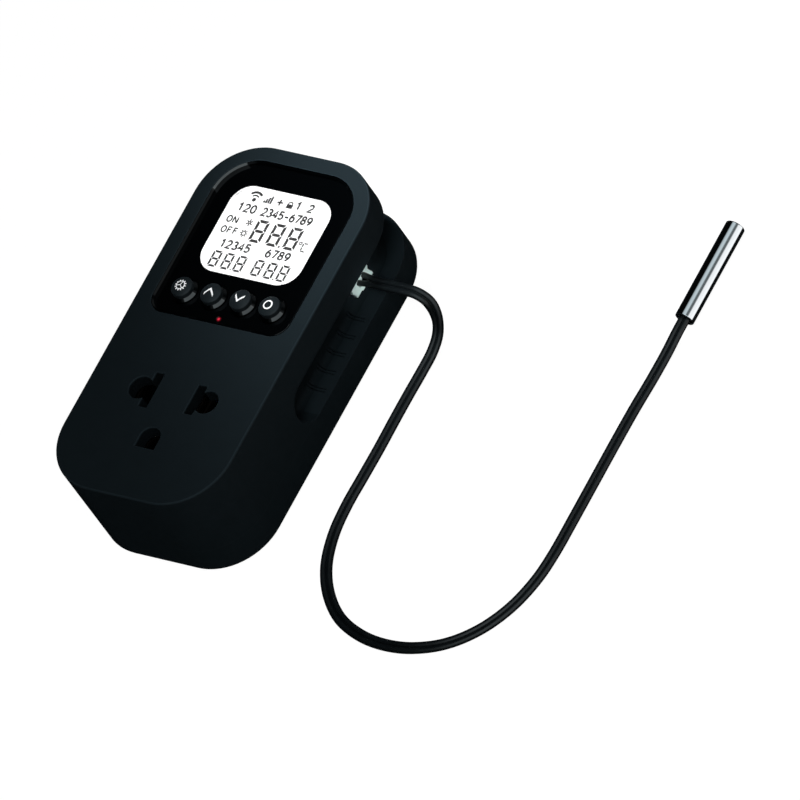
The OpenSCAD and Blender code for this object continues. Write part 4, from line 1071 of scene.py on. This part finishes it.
class CONTROLLER_OT_housing(Operator):
    """Adds the moulded body with its grip groove and the socket's openings"""
    bl_idname = "controller.housing"
    bl_label = "Housing"

    def execute(self, context):
        self.sizes = context.scene.controller_housing
        self.socket = context.scene.controller_socket
        self.panel = context.scene.controller_panel
        patches = self.outside() + self.face() + self.inner_skin()
        piece("housing_shell", patches, finish("housing_plastic"), "controller",
              ("housing",), crease=50, weld=4e-7)
        return {"FINISHED"}

    def stations(self, heights):
        """Core points and outward normals round the body, anticlockwise from the right side's
        foot. A point drawn in by d lies at core + (corner - d) normal."""
        s = self.sizes
        cx = BODY_HIGH[0] - s.corner
        low, top = BODY_LOW[1] + s.corner, BODY_HIGH[1] - s.corner
        turn = np.linspace(0, np.pi / 2, ARC_STEPS + 1)[1:]
        run = np.linspace(cx, -cx, END_STEPS + 1)[1:]
        parts = []

        def side(points, angle):
            points = np.atleast_2d(points)
            parts.append(np.column_stack([points, np.full(len(points), angle)]))

        def corner(x, y, start):
            parts.append(np.column_stack([np.full(len(turn), x), np.full(len(turn), y),
                                          start + turn]))

        side(np.column_stack([np.full(len(heights), cx), heights]), 0)
        corner(cx, top, 0)
        side(np.column_stack([run, np.full(len(run), top)]), np.pi / 2)
        corner(-cx, top, np.pi / 2)
        side(np.column_stack([np.full(len(heights) - 1, -cx), heights[::-1][1:]]), np.pi)
        corner(-cx, low, np.pi)
        side(np.column_stack([-run, np.full(len(run), low)]), 3 * np.pi / 2)
        corner(cx, low, 3 * np.pi / 2)
        whole = np.concatenate(parts)[:-1]
        return whole[:, :2], np.column_stack([np.cos(whole[:, 2]), np.sin(whole[:, 2])])

    def outside(self):
        """Side of the body: plain bands, the groove carried round the upper half, and round
        patches at the groove's lower ends."""
        s = self.sizes
        self.end_r = s.groove_width / 2
        self.mid = s.groove_low + self.end_r
        self.reach = self.end_r + GROOVE_REACH
        self.phi = np.linspace(-np.pi / 2, np.pi / 2, GROOVE_STEPS + 1)
        self.place_stations()
        span, drawn = self.groove_profile()
        return self.bands() + self.groove(span, drawn) + self.groove_ends(span, drawn)

    def place_stations(self):
        """Stations up the sides at the ends, at the rays of the patches round the groove's lower
        ends, at both sides of each cut and of the connector's opening, and evenly between."""
        s, gap = self.sizes, self.panel.gap
        low = BODY_LOW[1] + s.corner
        top = BODY_HIGH[1] - s.corner
        phi = self.phi[(np.abs(self.phi) >= np.pi / 4 - SAME) & (self.phi < 0)]
        rays = np.sort(s.groove_start - self.reach * (np.cos(phi) / np.abs(np.sin(phi))))
        centres = s.slot_first + s.slot_step * np.arange(SLOT_COUNT)
        self.lines = (centres[:, None] + s.slot_gap / 2 * np.array([[-1, 1]])).ravel()
        edges = s.slot_width / 2 + np.array([-CUT_SLOPE, CUT_SLOPE])
        cuts = (self.lines[:, None] + np.concatenate([-edges, edges])[None]).ravel()
        port = np.array([HEADER_LOW[1] - gap, HEADER_HIGH[1] + gap])
        even = np.linspace(s.groove_start, top, SIDE_STEPS + 1)
        heights = np.unique(np.round(np.concatenate([[low, top], rays, cuts, port, even]), PLACES))
        self.core, self.normal = self.stations(heights)
        right = self.core[:len(heights), 1]
        self.first_open = int(np.argmin(np.abs(right - s.groove_start)))
        self.last_closed = int(np.argmin(np.abs(right - rays[0])))
        self.port_line = heights[(heights >= port[0] - SAME) & (heights <= port[1] + SAME)]

    def mirror_index(self, index):
        """The station on the left side at the same height as one on the right."""
        left = np.flatnonzero(self.core[:, 0] < -SAME)
        return int(left[np.argmin(np.abs(self.core[left, 1] - self.core[index, 1]))])

    def at(self, columns, inset, z):
        """Point of the body's side at stations, drawn in by inset, at height z."""
        inset, z = np.broadcast_arrays(inset, z)
        inward = (self.sizes.corner - inset[..., None]) * self.normal[columns]
        return np.concatenate([self.core[columns] + inward, z[..., None]], -1)

    def bands(self):
        """Right round the body: the rounding at the rear, the bands below and above the groove
        and the rounding at the front. Then the closed side below the groove's ends."""
        s = self.sizes
        depth = BODY_HIGH[2]
        every = np.arange(len(self.core))[None]
        zero = 0.0 * every
        a = np.linspace(0, np.pi / 2, ROUND_STEPS + 2)[:, None]
        fall, rise = 1 - np.cos(a), 1 - np.sin(a)
        low, high = self.mid - self.reach, self.mid + self.reach
        rear = self.at(every, s.rear_round * rise + zero, s.rear_round * fall + zero)
        lower = self.at(every, zero, np.array([[s.rear_round], [low]]) + zero)
        upper = self.at(every, zero, np.array([[high], [depth - s.front_round]]) + zero)
        front = self.at(every, s.front_round * fall + zero, depth - s.front_round * rise + zero)
        self.rear_loop, self.edge_loop = rear[0][:, :2], front[-1][:, :2]
        below = np.concatenate([np.arange(self.mirror_index(self.last_closed), len(self.core)),
                                np.arange(0, self.last_closed + 1)])
        z = self.mid + self.reach * np.tan(self.phi[np.abs(self.phi) <= np.pi / 4 + SAME])
        closed = self.at(below[None], 0.0 * below[None], z[:, None] + 0.0 * below)
        return [grid(g, close_cols=True) for g in (rear, lower, upper, front)] + [grid(closed)]

    def groove(self, span, drawn):
        """The profiles at the ledge and at the overhang, from edge to edge, carried round the body
        between the lower ends. Where a cut crosses the ledge its points lie deeper, and the faces
        in the connector's opening are left out."""
        s = self.sizes
        columns = np.arange(self.first_open, self.mirror_index(self.first_open) + 1)
        rho = np.concatenate([-span[0], span[-1][::-1][1:]])
        inset = np.concatenate([drawn[0], drawn[-1][::-1][1:]])
        ledge = np.arange(len(rho)) < span.shape[1] - FLOOR_POINTS
        sunk = ledge & (inset > s.slot_short)
        on_side = np.abs(self.normal[columns][:, 1]) < SAME
        off = np.abs(self.core[columns][:, 1][:, None] - self.lines[None]).min(1)
        cut = on_side & (off < s.slot_width / 2)
        rho = np.where(sunk[:, None] & cut[None], -(self.end_r + s.slot_depth), rho[:, None])
        inset = np.repeat(inset[:, None], len(columns), 1)
        deepest = np.flatnonzero(sunk)[-1]
        inset[deepest] = np.where(cut, s.groove_depth, inset[deepest])
        verts, faces = grid(self.at(columns[None], inset, self.mid + rho))
        return [(verts, faces[~self.in_port(verts, faces, BODY_HIGH[0] - s.groove_depth)])]

    def groove_ends(self, span, drawn):
        """Round patches at the groove's lower ends, on both sides: the section at each angle phi
        lies along a ray from the end's centre."""
        y = self.sizes.groove_start - span * np.cos(self.phi)[:, None]
        height = self.mid + span * np.sin(self.phi)[:, None]
        return [grid(np.stack([sign * (BODY_HIGH[0] - drawn), y, height], -1))
                for sign in (1, -1)]

    def port_heights(self):
        """Lower edge, middle line of the groove and upper edge of the connector's opening."""
        s, gap = self.sizes, self.panel.gap
        return HEADER_LOW[2] - gap, s.groove_low + s.groove_width / 2, HEADER_HIGH[2] + gap

    def in_port(self, verts, faces, x):
        """Which faces in the plane at x lie in the connector's opening."""
        heights = self.port_heights()
        centre = verts[faces].mean(1)
        low = (HEADER_LOW[1] - self.panel.gap, heights[0])
        high = (HEADER_HIGH[1] + self.panel.gap, heights[-1])
        return ((np.abs(centre[:, 0] - x) < IN_PLANE)
                & (centre[:, 1:] > low).all(1) & (centre[:, 1:] < high).all(1))

    def groove_profile(self):
        """Distance from the end's centre and inset of the groove's section at each angle phi:
        from the flat side round the edge, in along the wall, round the cove and over the
        floor. Edge and cove turn from the ledge's sizes to the overhang's by the blend
        (1 + sin phi) / 2."""
        s, phi, end_r = self.sizes, self.phi, self.end_r
        mix = (0.5 + 0.5 * np.sin(phi))[:, None]
        edge = s.ledge_edge + (s.brow_edge - s.ledge_edge) * mix
        cove = s.cove + (COVE_SHARE * s.cove - s.cove) * mix
        low, high = self.port_heights()[::2]
        below, above = self.mid - low, high - self.mid
        port = below + (above - below) * mix
        bound = (self.reach / np.maximum(np.abs(np.cos(phi)), np.abs(np.sin(phi))))[:, None]
        a = np.linspace(0, np.pi / 2, ROUND_STEPS + 1)[None]
        margin = s.slot_short + CUT_END * np.array([[-1, 1]])
        one = np.ones_like(mix)
        rows = [
            (bound, 0 * one),
            (end_r + edge * (1 - np.sin(a)), edge * (1 - np.cos(a))),
            (end_r * one * np.ones((1, 2)), margin * one),
            (end_r - cove * (1 - np.cos(a)), s.groove_depth - cove * (1 - np.sin(a))),
            (port, s.groove_depth * one),
            (0 * one, s.groove_depth * one),
        ]
        span = np.concatenate([r for r, _ in rows], 1)
        drawn = np.concatenate([d for _, d in rows], 1)
        return span, drawn

    def openings(self):
        """Outlines of the socket's openings, each as a function of how far it is grown."""
        k = self.socket
        holes = []
        for sign, slot in ((-1, k.neutral_slot), (1, k.live_slot)):
            x, pin = sign * k.slot_gap / 2, sign * k.pin_gap / 2
            centre = (x + sign * SLOT_ORIGIN, 0.0)
            box = ((x - k.slot_width / 2, -slot / 2), (x + k.slot_width / 2, slot / 2))
            holes.append(lambda g, c=centre, p=pin, b=box: joined(c, (p, 0), k.pin_hole, *b, g))
        y = (EARTH_LOW[1] + EARTH_HIGH[1]) / 2
        box = ((-k.earth_hole, y - k.earth_flat), (k.earth_hole, y))
        holes.append(lambda g: joined((0, y - ARCH_ORIGIN), (0, y), k.earth_hole, *box, g))
        return holes

    def wells(self):
        """Outlines of the openings below the panel: display, keys and light pipe."""
        p = self.panel
        glass = tablet(GLASS_LOW - p.gap, GLASS_HIGH + p.gap, p.gap, p.gap, steps=2)
        return [glass, *(hole(0.0) for hole in key_holes(p)), pipe_hole(p)(0.0)]

    def face(self):
        """Front face with the socket's openings and the pocket for the panel."""
        s, p = self.sizes, self.panel
        depth = BODY_HIGH[2]
        inner = depth - s.front_wall
        holes = self.openings()
        r = s.hole_round

        def pocket(g):
            return tablet(PANEL_LOW - p.gap, PANEL_HIGH + p.gap, p.low_corner, p.top_corner, g)

        patches = [fill(self.edge_loop, [h(r) for h in holes] + [pocket(r)], depth)]
        patches += [rim(h, depth, inner, r) for h in holes]
        patches.append(rim(pocket, depth, PANEL_LOW[2], r))
        wells = self.wells()
        patches.append(fill(pocket(0.0), wells, PANEL_LOW[2]))
        patches += [grid(np.stack([level(w, PANEL_LOW[2]), level(w, inner)]), close_cols=True)
                    for w in wells]
        return patches

    def port_tunnel(self, waist):
        """Walls of the connector's opening, from the groove's floor to the plane at waist."""
        line, heights = self.port_line, self.port_heights()
        edge = np.array([(y, heights[0]) for y in line] + [(line[-1], z) for z in heights[1:]]
                        + [(y, heights[-1]) for y in line[-2::-1]] + [(line[0], heights[1])])
        rows = [np.column_stack([np.full(len(edge), x), edge])
                for x in (BODY_HIGH[0] - self.sizes.groove_depth, waist)]
        return grid(np.stack(rows), close_cols=True)

    def inner_skin(self):
        """Inside of the walls: the seat of the rear cover, the wide space behind the groove, the
        belly with the waist above it, and the wider room of the display in the waist."""
        s = self.sizes
        inner = BODY_HIGH[2] - s.front_wall
        step = s.groove_low - s.waist_wall
        seat, room = COVER_TOP, BOARD_TOP
        cx = BODY_HIGH[0] - s.corner
        y_low, y_top = BODY_LOW[1] + s.corner, BODY_HIGH[1] - s.corner
        belly = (BODY_HIGH[0] - s.wall, s.groove_start - s.groove_width / 2 - s.waist_wall)
        waist_in = s.groove_depth + s.waist_wall
        waist = BODY_HIGH[0] - waist_in
        side = BODY_HIGH[0] - s.groove_depth - s.room_wall
        top = BODY_HIGH[1] - s.groove_depth - s.room_wall
        mirror = np.array([-1, 1])
        foot = corner_arc((cx, y_low), s.corner - s.wall, -1)
        right = np.array([belly, (side, belly[1])])
        narrow = np.concatenate([
            [(waist, belly[1])], np.column_stack([0 * self.port_line + waist, self.port_line]),
            corner_arc((cx, y_top), s.corner - waist_in, 0)])
        roomy = corner_arc((side - s.room_corner, top - s.room_corner), s.room_corner, 0)

        def whole(half):
            return np.concatenate([half, half[::-1] * mirror])

        loop = whole(np.concatenate([foot, right, narrow]))
        room_loop = whole(np.concatenate([foot, right, roomy]))
        wide = whole(np.concatenate([foot, [belly], corner_arc((cx, y_top), s.corner - s.wall, 0)]))
        mouth = tablet(BODY_LOW + s.lip, BODY_HIGH - s.lip, s.corner - s.lip, s.corner - s.lip)

        walls = np.stack([level(loop, z) for z in (step, *self.port_heights(), room)])
        verts, faces = grid(walls, close_cols=True)
        patches = [(verts, faces[~self.in_port(verts, faces, waist)]), self.port_tunnel(waist)]
        ledge = np.concatenate([right[1:], roomy, roomy[::-1] * mirror, right[1:] * mirror,
                                (narrow[::-1] * mirror)[::-1], narrow[::-1]])
        patches.append(fill(ledge, [], room))
        patches.append(grid(np.stack([level(room_loop, z) for z in (room, inner)]),
                            close_cols=True))
        patches.append(fill(room_loop, [h(0.0) for h in self.openings()] + self.wells(), inner))
        patches.append(fill(wide, [loop], step))
        patches.append(grid(np.stack([level(wide, z) for z in (seat, step)]), close_cols=True))
        patches.append(fill(mouth, [wide], seat))
        patches.append(grid(np.stack([level(mouth, z) for z in (0.0, seat)]), close_cols=True))
        patches.append(fill(self.rear_loop, [mouth], 0.0))
        return patches


# Front panel, lens, display and keys

class CONTROLLER_OT_panel(Operator):
    """Adds the glossy panel, with its openings, and the clear lens over the display"""
    bl_idname = "controller.panel"
    bl_label = "Panel and lens"

    def execute(self, context):
        p = context.scene.controller_panel
        top, back = PANEL_HIGH[2], PANEL_LOW[2]

        def edge(g):
            return tablet(PANEL_LOW, PANEL_HIGH, p.low_corner - p.gap, p.top_corner - p.gap, g)

        def window(g):
            return tablet(LENS_LOW - p.gap / 2, LENS_HIGH + p.gap / 2, p.lens_corner,
                          p.lens_corner, g)

        holes = [window, pipe_hole(p), *key_holes(p)]
        r, w, crest = p.edge, p.rim_width, BODY_HIGH[2] + p.rim_proud
        frame_line = [(-w, top), (-w, crest - p.rim_slope), (p.rim_slope - w, crest),
                      (-p.rim_edge, crest), (0.0, crest - p.rim_edge), (0.0, back)]
        patches = [fill(edge(-w), [h(r / 2) for h in holes], top)]
        patches.append(grid(np.stack([level(edge(g), z) for g, z in frame_line]),
                            close_cols=True))
        patches += [rim(h, top, back, r / 2) for h in holes]
        patches.append(fill(edge(0.0), [h(0.0) for h in holes], back))
        piece("front_panel", patches, finish("panel_plastic"), "controller",
              ("fascia",))

        def lens(g):
            return tablet(LENS_LOW, LENS_HIGH, p.lens_corner - p.gap / 2,
                          p.lens_corner - p.gap / 2, g)

        back = LENS_LOW[2] + 2 * p.ink
        patches = [fill(lens(-r), [], LENS_HIGH[2]), rim(lens, LENS_HIGH[2], back, r, sign=-1),
                   fill(lens(0.0), [], back)]
        piece("clear_lens", patches, finish("window_lens"), "controller",
              ("display_window",))
        return {"FINISHED"}


# least of one plus the cosine of a stroke's turn, which keeps its sharp corners short
STROKE_TURN = 0.4


def stroke(path, width):
    """Two sides of a stroke along a path: path plus and minus half the width along the normal,
    longer at a corner by one over one plus the cosine of its turn."""
    path = np.array(path, float)
    run = np.diff(path, axis=0)
    run /= np.linalg.norm(run, axis=1)[:, None]
    normal = np.column_stack([-run[:, 1], run[:, 0]])
    before, after = np.vstack([normal[:1], normal]), np.vstack([normal, normal[-1:]])
    reach = 1 / np.maximum(1 + (before * after).sum(1), STROKE_TURN)
    side = (before + after) * reach[:, None] * width / 2
    return path + side, path - side, False


def bar(start, end, width):
    """Two sides of a straight stroke: its ends moved by half the width along its normal."""
    start, end = np.array(start, float), np.array(end, float)
    side = np.array([start[1] - end[1], end[0] - start[0]])
    side *= width / 2 / np.linalg.norm(side)
    return np.array([start + side, end + side]), np.array([start - side, end - side]), False


# gap between two segments of a digit, and how far an outer side runs past its end, as shares of
# a segment's width and of half of it
SEGMENT_GAP_SHARE = 0.14
SEGMENT_REACH_SHARE = 0.45


def segment(start, end, width, outer):
    """Two sides of a segment of a digit: its ends moved by half the width along its normal. With
    outer 1 or -1 its left or right side runs on towards the digit's corner, and its other side
    stops half the width short; with outer 0 both ends are pointed."""
    start, end = np.array(start, float), np.array(end, float)
    run = (end - start) / np.linalg.norm(end - start) * width / 2
    side = np.array([-run[1], run[0]])
    if outer:
        out, past = side * outer, SEGMENT_REACH_SHARE * run
        far = np.array([start - past + out, end + past + out])
        near = np.array([start + run - out, end - run - out])
        return (far, near, False) if outer > 0 else (near, far, False)
    return tuple(np.array([start, start + run + lift, end - run + lift, end])
                 for lift in (side, -side)) + (False,)


def digit(corner, size, width, lit="abcdefg"):
    """Seven-segment digit in a box: segments a to g in the usual order, each from a place to a
    place, drawn in by the gap, with its outer side."""
    left, low = np.array(corner) + width / 2
    right, top = np.array(corner) + size - width / 2
    mid = corner[1] + size[1] / 2
    gap = width * SEGMENT_GAP_SHARE
    places = {
        "a": ((left + gap, top), (right - gap, top), 1),
        "b": ((right, top - gap), (right, mid + gap), 1),
        "c": ((right, mid - gap), (right, low + gap), 1),
        "d": ((left + gap, low), (right - gap, low), -1),
        "e": ((left, mid - gap), (left, low + gap), -1),
        "f": ((left, top - gap), (left, mid + gap), -1),
        "g": ((left + gap, mid), (right - gap, mid), 0),
    }
    return [segment(*places[name][:2], width, places[name][2]) for name in lit]


def curve(x, y, wide, high, start, end):
    """Points of part of an ellipse round x and y, its angles in degrees."""
    return arc((x, y), np.array((wide, high)), start, end, 12).tolist()


# plain numbers and the letters of ON and OFF: strokes in a box of width and height 1
SIGNS = {
    "0": [curve(0.5, 0.5, 0.5, 0.5, 0, 180), curve(0.5, 0.5, 0.5, 0.5, 180, 360)],
    "1": [[(0.15, 0.78), (0.6, 1), (0.6, 0)]],
    "2": [[*curve(0.5, 0.7, 0.46, 0.3, 165, -35), (0, 0), (1, 0)]],
    "3": [[*curve(0.45, 0.76, 0.42, 0.24, 150, -90)], [*curve(0.45, 0.26, 0.5, 0.26, 90, -150)]],
    "4": [[(0.75, 0), (0.75, 1), (0, 0.3), (1, 0.3)]],
    "5": [[(0.92, 1), (0.15, 1), (0.1, 0.56), *curve(0.45, 0.31, 0.5, 0.31, 110, -150)]],
    "6": [curve(0.5, 0.3, 0.47, 0.3, 0, 180), curve(0.5, 0.3, 0.47, 0.3, 180, 360),
          curve(0.95, 0.3, 0.92, 0.7, 180, 105)],
    "7": [[(0, 1), (1, 1), (0.35, 0)]],
    "8": [curve(0.5, 0.77, 0.4, 0.23, 0, 360), curve(0.5, 0.27, 0.48, 0.27, 0, 360)],
    "9": [curve(0.5, 0.7, 0.47, 0.3, 0, 180), curve(0.5, 0.7, 0.47, 0.3, 180, 360),
          curve(0.05, 0.7, 0.92, 0.7, 0, -75)],
    "-": [[(0.1, 0.42), (0.9, 0.42)]],
    "O": [curve(0.5, 0.5, 0.55, 0.5, 0, 180), curve(0.5, 0.5, 0.55, 0.5, 180, 360)],
    "N": [[(0, 0), (0, 1)], [(0, 1), (1, 0)], [(1, 0), (1, 1)]],
    "F": [[(0.1, 0), (0.1, 1), (0.9, 1)], [(0.1, 0.54), (0.8, 0.54)]],
}


def written(text, corner, size, pitch, width):
    """A row of plain signs, each in its own box."""
    return [stroke(np.array(corner) + (k * pitch, 0) + np.array(size) * path, width)
            for k, sign in enumerate(text) for path in SIGNS[sign]]


def eights(places, y, size, width):
    """Seven-segment digits with all segments shown."""
    return [side for x in places for side in digit((x, y), size, width)]


def hoop(centre, inner, outer, start=0, end=360, steps=32):
    """Two sides of a ring or of an arc: centre + inner and centre + outer (cos t, sin t)."""
    whole = end - start == 360
    t = np.radians(np.linspace(start, end, steps + 1))[:-1 if whole else None]
    ray = np.column_stack([np.cos(t), np.sin(t)])
    return np.array(centre) + inner * ray, np.array(centre) + outer * ray, whole


# numbers in the places of words, and ON and OFF: signs, corner, size of a sign, pitch, line width
ROWS = (
    ("1", (4.5, 53.1), (1.2, 1.9), 2, 0.46),
    ("2", (8.1, 53.1), (1.2, 1.9), 2, 0.46),
    ("120", (-10.3, 49.7), (1.25, 2.0), 1.85, 0.46),
    ("2345-6789", (-3.4, 49.7), (1.15, 2.0), 1.62, 0.46),
    ("12345", (-9.6, 39.6), (1.2, 2.0), 1.78, 0.46),
    ("6789", (3.6, 39.6), (1.2, 2.0), 1.78, 0.46),
    ("ON", (-11.4, 46.35), (1.15, 1.6), 1.75, 0.36),
    ("OFF", (-11.4, 43.45), (1.1, 1.6), 1.65, 0.36),
)
# the marks were placed as seen through the window, and lie deeper
MARKS_SHIFT = MM * np.array((-1.5, 0.8))


class CONTROLLER_OT_display(Operator):
    """Adds the dark marks of the display: numbers, signs and ON and OFF"""
    bl_idname = "controller.display"
    bl_label = "Display marks"

    def execute(self, context):
        p = context.scene.controller_panel
        base = GLASS_HIGH[2]
        patches = []
        for left, right, closed in self.marks():
            left, right = left * MM + MARKS_SHIFT, right * MM + MARKS_SHIFT
            patches += band(left, right, lambda q: np.full(len(q), base + p.ink),
                            lambda q: np.full(len(q), base), closed)
        piece("display_marks", patches, finish("segment_ink"), "controller",
              smooth=False, weld=1e-8)
        return {"FINISHED"}

    def marks(self):
        """Strokes of the display, in millimetres on the face."""
        strokes = self.status() + self.modes()
        for row in ROWS:
            strokes += written(*row)
        # measured value in degrees, and two set values
        strokes += eights((-3.1, 1.8, 6.7), 42.45, (3.4, 6.1), 0.76)
        strokes.append(bar((5.6, 42.75), (6.1, 42.75), 0.5))
        strokes.append(hoop((11.0, 44.9), 0.22, 0.46))
        strokes += digit((11.7, 42.7), (1.6, 2.5), 0.36, "adef")
        strokes += eights((-10.1, -6.5, -2.9, 2.2, 5.9, 9.5), 34.1, (2.5, 4.4), 0.55)
        strokes += [bar((x, 34.35), (x + 0.36, 34.35), 0.38) for x in (-3.5, 8.8)]
        return strokes

    def status(self):
        """Wireless sign, four signal bars, a plus sign and a padlock."""
        spot = (-7.25, 53.15)
        strokes = [hoop(spot, 0.0, 0.52)]
        strokes += [hoop(spot, r - half, r + half, 42, 138, 16)
                    for r, half in ((1.2, 0.2), (2.05, 0.3))]
        strokes += [bar((x, 53.0), (x, 53.6 + 0.5 * k), 0.5)
                    for k, x in enumerate(-4.4 + 0.6 * np.arange(4))]
        strokes.append(bar((-0.9, 53.9), (0.7, 53.9), 0.42))
        strokes += [bar((-0.1, y), (-0.1, y + 0.6), 0.42) for y in (53.08, 54.08)]
        strokes.append(bar((1.95, 53.45), (3.65, 53.45), 1.1))
        strokes.append(hoop((2.8, 54.05), 0.42, 0.72, 0, 180, 16))
        return strokes

    def modes(self):
        """A snowflake beside ON and a sun beside OFF: rays from a ring's radius outwards."""
        strokes = [hoop((-5.1, 44.2), 0.4, 0.68)]
        for centre, count, first, last, width, lean in (
                ((-5.1, 47.2), 6, 0.14, 0.98, 0.32, np.pi / 6),
                ((-5.1, 44.2), 8, 0.72, 1.04, 0.3, 0.0)):
            for turn in np.arange(count) * TURN / count + lean:
                out = np.array([np.cos(turn), np.sin(turn)])
                strokes.append(bar(centre + first * out, centre + last * out, width))
        return strokes


# stretches of a key's rounded edge and of its dome, from the rim to the middle
KEY_EDGE_STEPS = 6
DOME_STEPS = 14
# signs on the keys, in millimetres: half the width, half the height and half the line of an arrow
# head, the two radii of the ring, and the gear's bore, rim, teeth, spokes and their angles
CHEVRON = (1.3, 0.76, 0.2)
RING = (0.86, 1.22)
GEAR_BORE, GEAR_RIM, GEAR_TOOTH, GEAR_COUNT, GEAR_SPOKE = 0.95, 1.12, 0.36, 12, 0.22
GEAR_SPOKES = np.radians((75, 195, 315))


class CONTROLLER_OT_keys(Operator):
    """Adds the four domed keys and the signs printed on them"""
    bl_idname = "controller.keys"
    bl_label = "Keys"

    def execute(self, context):
        self.panel = context.scene.controller_panel
        signs = (self.gear(), [self.chevron(1)], [self.chevron(-1)],
                 [hoop((0, 0), *RING, steps=48)])
        for node, sign in zip(KEY_NODES, signs):
            centre = np.array(key_centre(node))
            foot, cap = self.profiles(node)
            piece(node + "_foot", [revolve(foot, (*centre, 0.0))], finish("key_foot"), node,
                  (node,), crease=35)
            piece(node + "_cap", [revolve(cap, (*centre, 0.0))], finish("key_plastic"), node,
                  crease=35)
            top = self.dome(node)
            ink = self.panel.ink
            patches = []
            for left, right, closed in sign:
                patches += band(centre + left * MM, centre + right * MM,
                                lambda q: top(q) + ink, lambda q: top(q) - 2 * ink, closed)
            piece(node + "_sign", patches, finish("mark_ink"), node, weld=1e-8)
        return {"FINISHED"}

    def dome_radius(self):
        """Radius of the sphere whose cap has the barrel's radius and the dome's rise."""
        p = self.panel
        return (p.key_barrel ** 2 + p.key_dome ** 2) / (2 * p.key_dome)

    def dome(self, node):
        """Height of the domed top over a point: centre + root of R squared - r squared."""
        big = self.dome_radius()
        centre = np.array(key_centre(node))
        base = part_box(node)[1][2] - big

        def height(q):
            return base + np.sqrt(big ** 2 - ((q - centre) ** 2).sum(1))
        return height

    def profiles(self, node):
        """Half sections of a key's foot and of its domed cap, each closed on the axis."""
        p = self.panel
        low, high = (c[2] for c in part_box(node))
        flange = (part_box(node)[1][0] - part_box(node)[0][0]) / 2
        big = self.dome_radius()
        f = p.key_rim
        centre = high - big
        rise = np.sqrt((big - f) ** 2 - (p.key_barrel - f) ** 2)
        knee = np.array([p.key_barrel - f, centre + rise])
        bend = np.arctan2(knee[1] - centre, knee[0])
        edge = arc(knee, f, 0, np.degrees(bend), KEY_EDGE_STEPS)
        dome = arc((0, centre), big, np.degrees(bend), 90, DOME_STEPS)[1:]
        dome[-1, 0] = 0
        seat = low + p.key_flange
        top = p.key_foot_top + p.key_foot - p.key_barrel
        foot = [(0, low), (flange, low), (flange, seat), (p.key_foot, seat),
                (p.key_foot, p.key_foot_top), (p.key_barrel, top), (0, top)]
        return np.array(foot), np.concatenate([[(0, top), (p.key_barrel, top)], edge, dome])

    def chevron(self, sense):
        """Arrow head pointing up or down, in millimetres: y = h - 2 h |x / w|, moved up and down
        by half of the line's width over the cosine of its slope."""
        w, h, half = CHEVRON
        run = np.linspace(-1, 1, 13)
        path = np.column_stack([w * run, sense * (h - 2 * h * np.abs(run))])
        lean = half * np.hypot(w, 2 * h) / w
        return path + (0, lean), path - (0, lean), False

    def gear(self):
        """Toothed wheel with three spokes. The rim's outer side steps out at each tooth, by the
        cosine of count times t, steepened and cut off at 0 and 1."""
        ray = circle(12 * GEAR_COUNT)
        wave = np.cos(GEAR_COUNT * np.arange(len(ray)) / len(ray) * TURN)
        tooth = np.clip(2.2 * wave + 0.3, 0, 1)[:, None]
        wheel = (GEAR_BORE * ray, (GEAR_RIM + GEAR_TOOTH * tooth) * ray, True)
        return [wheel, *(bar((0, 0), (np.cos(a), np.sin(a)), GEAR_SPOKE) for a in GEAR_SPOKES)]


class CONTROLLER_OT_carried(Operator):
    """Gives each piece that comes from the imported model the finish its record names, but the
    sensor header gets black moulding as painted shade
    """
    bl_idname = "controller.carried"
    bl_label = "Carried pieces"

    def execute(self, context):
        for part in frame["record"]["subparts"]:
            # the header lies in the shade of the groove and gets the black moulding finish in place
            # of its own, as painted shade
            slot = "black_moulding" if part["node"] == "sensor_header" else part["material_slot"]
            made = finish(slot)
            for held in frame["nodes"][part["node"]].material_slots:
                held.material = made
        return {"FINISHED"}


class CONTROLLER_PT_pieces(Panel):
    """Lists the pieces of the controller"""
    bl_label = "Temperature controller"
    bl_idname = "CONTROLLER_PT_pieces"
    bl_space_type = "VIEW_3D"
    bl_region_type = "UI"
    bl_category = "Controller"

    def draw(self, context):
        for operator in OPERATORS:
            self.layout.operator(operator.bl_idname)
        for group in GROUPS:
            box = self.layout.box()
            box.label(text=group)
            values = getattr(context.scene, group)
            for name in values.bl_rna.properties.keys():
                if name not in ("rna_type", "name"):
                    box.prop(values, name)


GROUPS = {
    "controller_housing": HousingSizes,
    "controller_socket": SocketSizes,
    "controller_panel": PanelSizes,
    "controller_lead": LeadSizes,
    "controller_colours": Colours,
}
OPERATORS = (CONTROLLER_OT_stage, CONTROLLER_OT_lead, CONTROLLER_OT_housing,
             CONTROLLER_OT_panel, CONTROLLER_OT_display, CONTROLLER_OT_keys,
             CONTROLLER_OT_carried)
CLASSES = (*GROUPS.values(), *OPERATORS, CONTROLLER_PT_pieces)


def register():
    for cls in CLASSES:
        bpy.utils.register_class(cls)
    for name, group in GROUPS.items():
        setattr(bpy.types.Scene, name, PointerProperty(type=group))


def unregister():
    for name in GROUPS:
        delattr(bpy.types.Scene, name)
    for cls in reversed(CLASSES):
        bpy.utils.unregister_class(cls)


def main():
    register()
    bpy.ops.controller.stage()
    bpy.ops.controller.lead()
    bpy.ops.controller.housing()
    bpy.ops.controller.panel()
    bpy.ops.controller.display()
    bpy.ops.controller.keys()
    bpy.ops.controller.carried()


if __name__ == "__main__":
    main()
